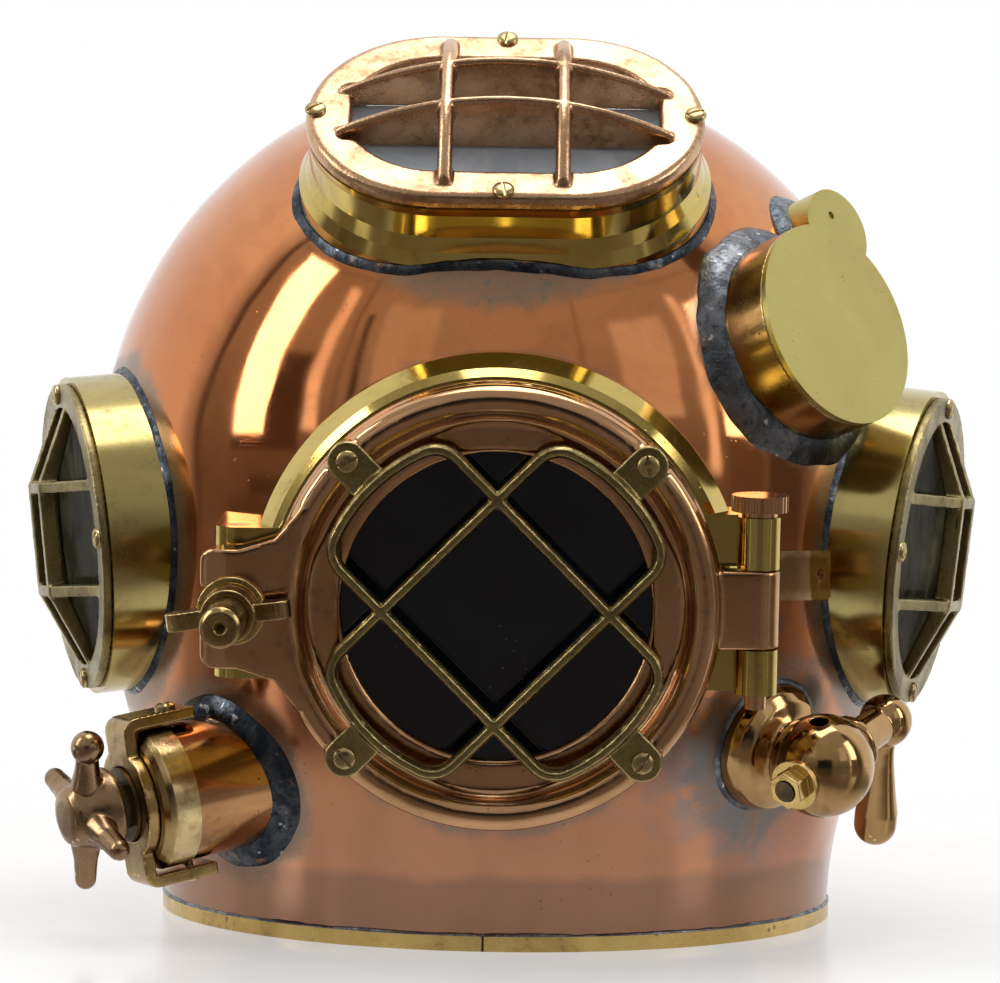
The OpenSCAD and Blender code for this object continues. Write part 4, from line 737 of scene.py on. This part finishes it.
def copper_grid(step, cols):
    """The copper's outside, with no openings, as a grid of rows a step apart."""
    line, z = [], COPPER_FOOT
    while z < DOME_Z:
        line.append((shell_r(z), z))
        z += step
    start = math.asin((z - DOME_Z) / DOME_R)
    count = int(math.radians(90) * DOME_R / step)
    for i in range(count):
        t = start + (math.pi / 2 - start) * i / count
        line.append((DOME_R * math.cos(t), DOME_Z + DOME_R * math.sin(t)))
    bm = bmesh.new()
    angles = [2 * math.pi * j / cols for j in range(cols)]
    rows = [[bm.verts.new((r * math.cos(a), r * math.sin(a), z)) for a in angles] for r, z in line]
    top = bm.verts.new((0, 0, DOME_Z + DOME_R))
    for low, high in zip(rows, rows[1:]):
        for j in range(cols):
            k = (j + 1) % cols
            bm.faces.new((low[j], low[k], high[k], high[j]))
    for j in range(cols):
        bm.faces.new((rows[-1][j], rows[-1][(j + 1) % cols], top))
    return bm


def open_holes(bm):
    """Deletes the grid inside the holes and draws its torn rims onto theirs."""
    rim_reach, foot_z = 6, 8
    holes = [(m, m.inverted(), r, half) for m, r, half in HOLES]
    gone = [v for v in bm.verts
            if any(outside_hole(inv, v.co, r, half) < 0 for _, inv, r, half in holes)]
    bmesh.ops.delete(bm, geom=gone, context="VERTS")
    for v in [v for v in bm.verts if v.is_boundary and v.co.z > foot_z]:
        for m, inv, r, half in holes:
            if outside_hole(inv, v.co, r, half) < rim_reach:
                q = inv @ v.co
                cx = max(-half, min(half, q.x))
                d = math.hypot(q.x - cx, q.y)
                x, y = cx + (q.x - cx) * r / d, q.y * r / d
                v.co = m @ Vector((x, y, on_shell(m, x, y)))
                break


def make_copper():
    """The shell turned as one fine grid, faintly uneven from the hammer, with its openings cut."""
    bm = copper_grid(step=3.3, cols=400)
    open_holes(bm)
    for v in bm.verts:
        n = noise.noise(v.co * 0.030) * 0.16 + noise.noise(v.co * 0.085) * 0.05
        away = Vector((v.co.x, v.co.y, max(v.co.z - DOME_Z, 0))).normalized()
        v.co = (v.co + away * n) * MM
    obj = linked("copper_shell", bm)
    wall = obj.modifiers.new("thickness", "SOLIDIFY")
    wall.thickness, wall.offset = SHELL_T * MM, -1
    finish_piece(smooth(settle(obj), 50), COPPER, "helmet", "bonnet")


def oval(r, half, n):
    """Points of an oval, or of a circle where half is 0, each with its outward direction."""
    if not half:
        angles = [math.radians(360 * i / n) for i in range(n)]
        return [(r * math.cos(a), r * math.sin(a), math.cos(a), math.sin(a)) for a in angles]
    arc, path = math.pi * r, []
    total = 2 * arc + 4 * half
    for i in range(n):
        s = total * i / n
        if s < arc:
            a = -math.pi / 2 + s / r
            path.append((half + r * math.cos(a), r * math.sin(a), math.cos(a), math.sin(a)))
        elif s < arc + 2 * half:
            path.append((half - (s - arc), r, 0, 1))
        elif s < 2 * arc + 2 * half:
            a = math.pi / 2 + (s - arc - 2 * half) / r
            path.append((-half + r * math.cos(a), r * math.sin(a), math.cos(a), math.sin(a)))
        else:
            path.append((-half + (s - 2 * arc - 2 * half), -r, 0, -1))
    return path


def solder_run(name, matrix, r, half, width, rise, lumps, seed, material):
    """A wiped fillet of solder in the corner between a fitting's sleeve and the copper. The seed
    picks the stretch of noise that makes its lumps."""
    path, across, buried, lip = oval(r, half, 300), 10, 0.8, 0.28
    verts = []
    for x, y, u, v in path:
        q = Vector((x, y, seed * 13.7))
        w = width * (1 + lumps * (noise.noise(q * 0.05) * 1.0 + noise.noise(q * 0.14) * 0.45))
        swell = noise.noise(q * 0.06 + Vector((9, 9, 9))) + noise.noise(q * 0.16) * 0.45
        h = rise * (1 + lumps * swell)
        for k in range(across):
            t = k / (across - 1)
            d = w * t
            px, py, hump = x + u * d, y + v * d, math.sin(math.pi * t)
            fat = noise.noise(Vector((px, py, seed * 5.1)) * 0.12) * lumps * rise * 0.35 * hump
            z = on_shell(matrix, px, py) + max(h * (1 - t) ** 1.5 + 0.35 * rise * hump + fat, 0)
            verts.append((px, py, z + lip * (1 - t)))
        edge = on_shell(matrix, x + u * w, y + v * w)
        verts.append((x + u * w, y + v * w, edge - buried))
        verts.append((x, y, on_shell(matrix, x, y) - buried))
    obj = smooth(make(name, [(verts, skin(len(path), across + 2))], matrix), 60)
    finish_piece(obj, material, "helmet", "solder_fillets")


def make_neck_solder():
    """The thin uneven line of solder between the copper's foot and the neck ring."""
    cols, across = 480, 7
    band = []
    for i in range(cols):
        a = 2 * math.pi * i / cols
        q = Vector((math.cos(a) * 8, math.sin(a) * 8, 3))
        h = max(1.1 + 0.6 * noise.noise(q * 1.1) + 0.3 * noise.noise(q * 4.2), 0.5)
        out = 0.35 + 0.3 * noise.noise(q * 2.6)
        for k in range(across):
            t = k / (across - 1)
            z = NECK_SOLDER_Z + h * t
            r = shell_r(z) + (0.05 + 0.85 * (1 - t) + out * math.sin(math.pi * t))
            band.append((r * math.cos(a), r * math.sin(a), z))
        for z in (NECK_SOLDER_Z + h + 0.1, NECK_SOLDER_Z):
            band.append((NECK_SOLDER_BACK * math.cos(a), NECK_SOLDER_BACK * math.sin(a), z))
    obj = smooth(make("solder_neck", [(band, skin(cols, across + 2))]), 60)
    finish_piece(obj, SOLDER, "helmet", "solder_fillets")


# Piece, fitting's frame, radius, half length, width, rise, lumpiness, seed, material.
SOLDER_RUNS = (
    ("solder_crown", CROWN, 55.2, CROWN_HALF, 2.6, 1.3, 0.45, 1, SOLDER_DARK),
    ("solder_left", LEFT, SIDE_R + SOLDER_ROOM, 0, 2.2, 1.1, 0.3, 2, SOLDER_DARK),
    ("solder_right", RIGHT, SIDE_R + SOLDER_ROOM, 0, 2.2, 1.1, 0.3, 3, SOLDER_DARK),
    ("solder_exhaust", EXHAUST, EXHAUST_R + SOLDER_ROOM, 0, 8.0, 3.8, 0.16, 4, SOLDER_DARK),
    ("solder_cup", CUP, CUP_R + SOLDER_ROOM, 0, 9.0, 6.0, 0.24, 5, SOLDER),
    ("solder_small_cup", SMALL_CUP, SMALL_R + SOLDER_ROOM, 0, 6.0, 4.0, 0.24, 6, SOLDER),
    ("solder_spit", SPIT, 25.1, 0, 1.8, 0.7, 0.4, 7, SOLDER),
)


# Castings from the solids

# Piece, node, material, slot, body, voxel, rounds of smoothing, share of the faces kept, height
# of the unevenness and its fineness.
CASTINGS = (
    ("door_casting", "door", DOOR_BRONZE, "bronze", "door", 0.75, 8, 0.5, 0.10, 0.05),
    ("door_bars", "door_guard", GUARD_BRASS, "brass", "door", 0.5, 7, 0.6, 0.12, 0.20),
    ("door_clamp_ring", "door_retainer", OLD_BRASS, "old_brass", "door",
     0.6, 3, 0.6, 0.05, 0.12),
    ("swing_bolt_worn", "swing_bolt", OLD_BRASS, "old_brass", "clamp_bolt",
     0.4, 4, 0.7, 0.04, 0.12),
    ("wing_nut_cast", "wing_nut", OLD_BRASS, "brass", "wing_nut", 0.35, 7, 0.7, 0.08, 0.3),
    ("collar_turned", "clamp_collar", NUT_BRASS, "bronze", "clamp_collar",
     0.35, 3, 0.7, 0.03, 0.12),
    ("left_bars", "left_guard", OLIVE_CAST, "old_brass", "helmet", 0.55, 6, 0.6, 0.16, 0.22),
    ("right_bars", "right_guard", OLIVE_CAST, "old_brass", "helmet", 0.55, 6, 0.6, 0.16, 0.22),
    ("yoke_strap", "exhaust_yoke", OLD_BRASS, "brass", "helmet", 0.45, 7, 0.7, 0.07, 0.12),
    ("handwheel_cast", "exhaust_wheel", WHEEL_BRONZE, "bronze", "handwheel",
     0.45, 9, 0.7, 0.10, 0.14),
    ("spitcock_casting", "spitcock_body", COCK_BRONZE, "bronze", "helmet",
     0.55, 8, 0.7, 0.05, 0.07),
    ("spitcock_handle", "spitcock_lever", COCK_BRONZE, "bronze", "spitcock",
     0.45, 7, 0.7, 0.05, 0.07),
    ("spitcock_hex_nut", "spitcock_nut", NUT_BRASS, "brass", "spitcock",
     0.25, 3, 0.7, 0.03, 0.12),
    ("lock_block", "lock_bracket", LUG_BRASS, "brass", "helmet", 0.5, 5, 0.7, 0.08, 0.12),
    ("lock_handle", "lock_lever", OLD_BRASS, "brass", "lock_lever", 0.45, 6, 0.7, 0.06, 0.12),
    ("cup_can", "phone_cup", OLD_BRASS, "brass", "helmet", 0.55, 3, 0.6, 0.05, 0.05),
)


def uneven(obj, amount, fineness):
    """Moves a mesh's points along their normals, as sand and filing leave a casting."""
    out = []
    for v in obj.data.vertices:
        q = v.co / MM * fineness
        height = (noise.noise(q) * 0.65 + noise.noise(q * 2.7) * 0.35) * amount * MM
        out.extend(v.co + v.normal * height)
    obj.data.vertices.foreach_set("co", out)
    obj.data.update()


def recast(name, node, material, slot, body, voxel, rounds, keep, amount, fineness):
    """A casting with soft corners in place of solids, in their own shape and place."""
    obj = cast(node_copy(name, node), voxel, rounds, keep)
    uneven(obj, amount, fineness)
    finish_piece(obj, material, body, node)


def islands(node):
    """The corners of each separate solid of a node, in millimetres."""
    mesh = NODES[node].data
    parent = list(range(len(mesh.vertices)))

    def root(i):
        while parent[i] != i:
            parent[i] = parent[parent[i]]
            i = parent[i]
        return i

    first = {}
    for v in mesh.vertices:
        key = tuple(round(c * 1e5) for c in v.co)
        parent[root(v.index)] = root(first.setdefault(key, v.index))
    for e in mesh.edges:
        parent[root(e.vertices[0])] = root(e.vertices[1])
    corners = {}
    for v in mesh.vertices:
        corners.setdefault(root(v.index), []).append(v.co / MM)
    return list(corners.values())


def middle(points):
    return tuple(sum(points, Vector()) / len(points))


def slotted_head(r, h, turn_deg):
    """A domed screw head with its slot, as a fine polar grid that closes underneath."""
    rings, seg = 20, 96
    slot_w, slot_d, slot_edge = 0.95, 1.0, 0.12
    a0 = math.radians(turn_deg)
    verts, faces = [(0, 0, h - slot_d)], []
    for i in range(1, rings + 1):
        t = i / rings
        d = r * math.sin(t * math.pi / 2) if i < rings else r
        z = h * (0.18 + 0.82 * math.sqrt(max(0.0, 1 - (d / r) ** 2)) ** 0.8) if i < rings else 0.0
        floor = h - slot_d - 0.25 * (d / r) ** 2
        for j in range(seg):
            a = 2 * math.pi * j / seg
            x, y = d * math.cos(a), d * math.sin(a)
            across = abs(-x * math.sin(a0) + y * math.cos(a0))
            dip = min(1.0, max(0.0, (slot_w / 2 + slot_edge - across) / slot_edge))
            verts.append((x, y, z + (min(z, floor) - z) * dip if i < rings else z))
    faces += [(0, 1 + j, 1 + (j + 1) % seg) for j in range(seg)]
    for i in range(rings - 1):
        p, q = 1 + i * seg, 1 + (i + 1) * seg
        faces += [(p + j, q + j, q + (j + 1) % seg, p + (j + 1) % seg) for j in range(seg)]
    n = len(verts)
    verts.append((0, 0, 0))
    last = 1 + (rings - 1) * seg
    faces += [(n, last + (j + 1) % seg, last + j) for j in range(seg)]
    return verts, faces


def make_screws(name, node, matrix, turns, body="helmet"):
    """A slotted screw for each solid of a node, its slot turned by an angle in degrees."""
    inverse = matrix.inverted()
    shank = [(0, -4.5), (SHANK_R, -4.5), (SHANK_R, 0.4), (0, 0.4)]
    shapes = []
    for i, corners in enumerate(sorted(islands(node), key=middle)):
        local = [inverse @ c for c in corners]
        xs, ys, zs = ([p[k] for p in local] for k in range(3))
        x, y, top = (min(xs) + max(xs)) / 2, (min(ys) + max(ys)) / 2, max(zs)
        place = matrix @ move(x, y, top - SCREW_PROUD)
        head = slotted_head(SCREW_R, SCREW_PROUD + 0.25, turns[i % len(turns)])
        shapes += [placed(head, place), placed(lathe(shank, seg=24), place)]
    finish_piece(smooth(make(name, shapes), 32), SCREW_BRASS, body, node)


# The crown's guard

def reach(outline, a):
    """How far a closed outline lies from the centre in direction a."""
    u, v = math.cos(a), math.sin(a)
    for (x0, y0), (x1, y1) in zip(outline, outline[1:] + outline[:1]):
        dx, dy = x1 - x0, y1 - y0
        det = v * dx - u * dy
        if abs(det) > 1e-9:
            t, k = (y0 * dx - x0 * dy) / det, (y0 * u - x0 * v) / det
            if t > 0 and -1e-6 <= k <= 1 + 1e-6:
                return t
    return 0.0


def plate(inner, outer, z0, z1):
    """A flat ring between two outlines, with its upper edges broken."""
    n, verts = 240, []
    for i in range(n):
        a = 2 * math.pi * (i + 0.5) / n
        r0, r1 = reach(inner, a), reach(outer, a)
        section = ((r0, z0), (r1, z0), (r1, z1 - 3.0), (r1 - 0.9, z1 - 0.9), (r1 - 3, z1),
                   (r0 + 1.6, z1), (r0 + 0.3, z1 - 0.7), (r0, z1 - 2))
        verts += [(r * math.cos(a), r * math.sin(a), z) for r, z in section]
    return verts, skin(n, 8)


def blade(top, bottom, y, width):
    """A bar on edge along x, between points of x and height. Its top edge is rounded."""
    verts, w, m = [], width / 2, 7
    for (x, zt), (_, zb) in zip(top, bottom):
        rim = [(-w, zb), (w, zb), (w * 0.92, zt - w * 0.9), (w * 0.62, zt - w * 0.25), (0, zt),
               (-w * 0.62, zt - w * 0.25), (-w * 0.92, zt - w * 0.9)]
        verts += [(x, y + u, v) for u, v in rim]
    n = len(top)
    ends = [tuple(range(m))[::-1], tuple((n - 1) * m + j for j in range(m))]
    return verts, ends + skin(n, m, closed=False)


def around(quarter):
    """Mirrors a quarter of an outline, from the x axis to the y axis, into the whole of it."""
    half = quarter + [(-x, y) for x, y in reversed(quarter)]
    return half + [(-x, -y) for x, y in half if abs(y) > 1e-6]


def make_crown_bars():
    """The crown's guard as one casting: a wide oval plate with a pointed opening, two deep arched
    blades along it and two rounded bars across them."""
    arch, sight_r, plate_r, floor = 17.0, 35.0, CROWN_RING_R - 0.2, -5.9
    long_y, long_half, long_w = 12.3, 63.5, 3.8
    short_x, short_half, short_w, short_depth, lap = 22.0, 45.5, 6.0, 7.5, 3.0
    end_x = CROWN_HALF + CROWN_OPEN_R
    arc_r = (end_x ** 2 + arch ** 2) / (2 * arch)

    def crest(x):
        return math.sqrt(max(arc_r ** 2 - x * x, 0)) - arc_r + arch

    arc = [math.radians(5 * i) for i in range(19)]
    quarter = [(CROWN_HALF + plate_r * math.cos(a), plate_r * math.sin(a)) for a in arc]
    # A quarter of the opening: its pointed end beside a blade, then its round side
    eye = [(58.5, 0), (58.5, 10.4), (63.5, 14.4), (60.5, 17.0)]
    eye += [(CROWN_HALF + sight_r * math.cos(a), sight_r * math.sin(a)) for a in arc[6:]]
    shapes = [plate(around(eye), around(quarter), floor, 0)]
    xs = [-long_half + 2 * long_half * i / 60 for i in range(61)]
    for s in (-1, 1):
        top, bottom = [(x, crest(x)) for x in xs], [(x, floor + 0.5) for x in xs]
        shapes.append(blade(top, bottom, s * long_y, long_w))
    peak = crest(short_x) + 0.3
    line = []
    for y in [-short_half + 2 * short_half * i / 50 for i in range(51)]:
        t = max(0.0, (abs(y) - long_y) / (short_half - long_y))
        end = math.sqrt(max(0.0, 1 - (max(0.0, abs(y) - short_half + lap) / lap) ** 2))
        line.append((y, peak * (1 - t ** 1.5) + 2.2 * t * end))
    low = [(y, max(z - short_depth, -5.0)) for y, z in line]
    verts, faces = blade(line, low, 0, short_w)
    for s in (-1, 1):
        shapes.append(([(-v + s * short_x, u, z) for u, v, z in verts], faces))
    obj = cast(make("crown_bars", shapes, CROWN), voxel=0.6, rounds=6, keep=0.6)
    uneven(obj, amount=0.16, fineness=0.16)
    finish_piece(obj, CROWN_BRONZE, "helmet", "crown_guard")


make_copper()
for run in SOLDER_RUNS:
    solder_run(*run)
make_neck_solder()
for casting in CASTINGS:
    recast(*casting)
make_crown_bars()
make_screws("door_guard_screws", "door_screws", FACE, (130, 25, 55, 100), "door")
make_screws("crown_guard_screws", "crown_screws", CROWN, (38, 80, 100, 20))
make_screws("left_guard_screws", "left_screws", LEFT, (40, 110, 75, 15))
make_screws("right_guard_screws", "right_screws", RIGHT, (20, 60, 100, 140))
